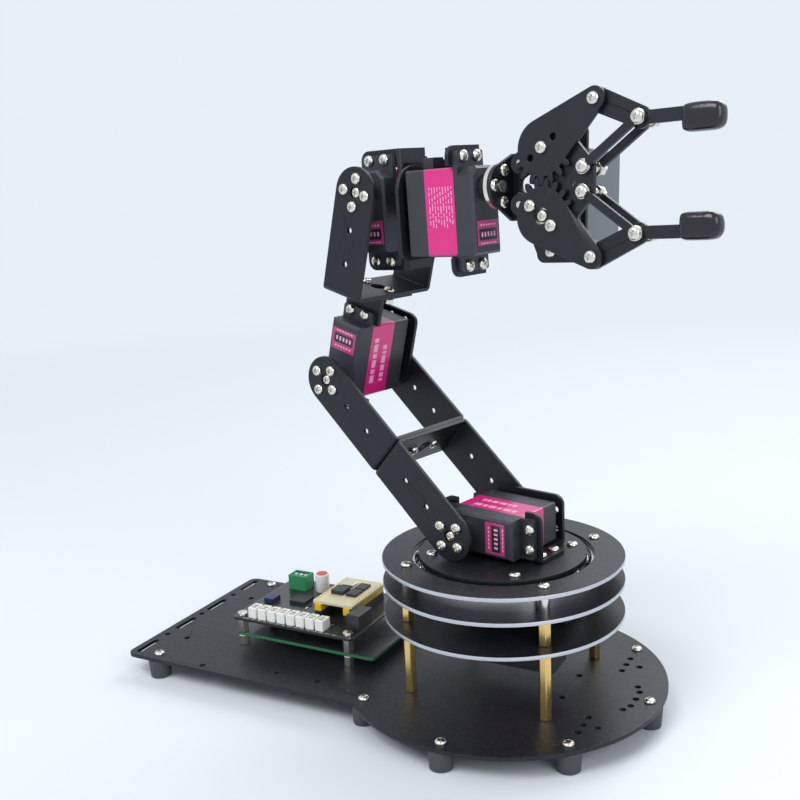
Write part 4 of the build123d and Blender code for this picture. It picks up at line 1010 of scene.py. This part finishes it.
class ROBOTARM_OT_stage(bpy.types.Operator):
    """Set the pale floor, the soft lights and the camera"""
    bl_idname = "robotarm.stage"
    bl_label = "Stage"

    def execute(self, context):
        p = context.scene.robot_arm
        clear()
        bpy.ops.mesh.primitive_plane_add(size=8, location=(0, 0, -0.0003))
        floor = bpy.context.object
        floor.name = "floor"
        m, tree, shader = new_material("floor_paint", Roughness=0.55)
        tone = mix(tree, noise(tree, tree.nodes.new("ShaderNodeTexCoord").outputs["Object"], 1.2, 2.0),
                   tuple(c * 0.98 for c in p.floor_colour), tuple(min(1, c * 1.02) for c in p.floor_colour))
        tree.links.new(tone, shader.inputs["Base Color"])
        away = tree.nodes.new("ShaderNodeVectorMath")
        away.operation = "LENGTH"
        tree.links.new(tree.nodes.new("ShaderNodeTexCoord").outputs["Object"], away.inputs[0])
        glow = tree.nodes.new("ShaderNodeEmission")
        glow.inputs["Color"].default_value = (*BACKDROP, 1)
        blend = tree.nodes.new("ShaderNodeMixShader")
        out = tree.nodes["Material Output"]
        tree.links.new(ramp(tree, away.outputs["Value"], 0.3, 1.4), blend.inputs[0])
        tree.links.new(shader.outputs[0], blend.inputs[1])
        tree.links.new(glow.outputs[0], blend.inputs[2])
        tree.links.new(blend.outputs[0], out.inputs["Surface"])
        paint(floor, m)
        world = bpy.data.worlds.new("studio")
        context.scene.world = world
        world.use_nodes = True
        tree = world.node_tree
        back = tree.nodes["Background"]
        path = tree.nodes.new("ShaderNodeLightPath")
        seen = math_node(tree, "MAXIMUM", path.outputs["Is Camera Ray"], path.outputs["Is Glossy Ray"])
        tree.links.new(mix(tree, seen, (0.41, 0.435, 0.465), BACKDROP), back.inputs["Color"])
        back.inputs["Strength"].default_value = 1.0
        for name, spot, size, power in (("key", (-0.5, -1.1, 1.5), 0.9, 16.0),
                                        ("fill", (1.3, -0.7, 0.9), 0.9, 9.0),
                                        ("rim", (0.2, 1.3, 1.2), 1.0, 11.0)):
            lamp = bpy.data.lights.new(name, "AREA")
            lamp.energy, lamp.size = power, size
            obj = bpy.data.objects.new(name, lamp)
            context.scene.collection.objects.link(obj)
            obj.location = spot
            obj.rotation_euler = (Vector((0, 0, 0.14)) - Vector(spot)).to_track_quat("-Z", "Y").to_euler()
        camera_at_photo(context)
        view = context.scene.view_settings
        view.view_transform = "Standard"
        return {"FINISHED"}


def camera_at_photo(context):
    """Camera recovered from the photograph."""
    yaw, pitch, roll = (math.radians(turn) for turn in CAMERA_TURNS)
    look = (Matrix.Rotation(yaw, 3, "Z") @ Matrix.Rotation(pitch, 3, "X")
            @ Matrix.Rotation(roll, 3, "Y"))
    right, ahead, up = look.col[0], look.col[1], look.col[2]
    m = Matrix((right, up, -ahead)).transposed().to_4x4()
    m.translation = Vector(CAMERA_SPOT)
    cam = bpy.data.cameras.new("camera")
    cam.sensor_width = SENSOR
    cam.lens = SENSOR * FOCAL_PIXELS / PHOTO_WIDTH
    cam.clip_start = 0.01
    obj = bpy.data.objects.new("camera", cam)
    context.scene.collection.objects.link(obj)
    obj.matrix_world = m
    context.scene.camera = obj


class ROBOTARM_PT_panel(bpy.types.Panel):
    bl_label = "Robot arm"
    bl_idname = "ROBOTARM_PT_panel"
    bl_space_type = "VIEW_3D"
    bl_region_type = "UI"
    bl_category = "Robot arm"

    def draw(self, context):
        for name in ("sheet_colour", "wrap_colour", "edge_round", "floor_colour"):
            self.layout.prop(context.scene.robot_arm, name)
        for op in STEPS:
            self.layout.operator(op.bl_idname)


STEPS = (ROBOTARM_OT_materials, ROBOTARM_OT_fasteners, ROBOTARM_OT_electronics, ROBOTARM_OT_servos,
         ROBOTARM_OT_stage)
CLASSES = (ROBOTARM_PG_sizes, *STEPS, ROBOTARM_PT_panel)


def register():
    for c in CLASSES:
        bpy.utils.register_class(c)
    bpy.types.Scene.robot_arm = bpy.props.PointerProperty(type=ROBOTARM_PG_sizes)


def unregister():
    del bpy.types.Scene.robot_arm
    for c in reversed(CLASSES):
        bpy.utils.unregister_class(c)


def main():
    register()
    bpy.ops.robotarm.materials()
    bpy.ops.robotarm.fasteners()
    bpy.ops.robotarm.electronics()
    bpy.ops.robotarm.servos()
    bpy.ops.robotarm.stage()


if __name__ == "__main__":
    main()
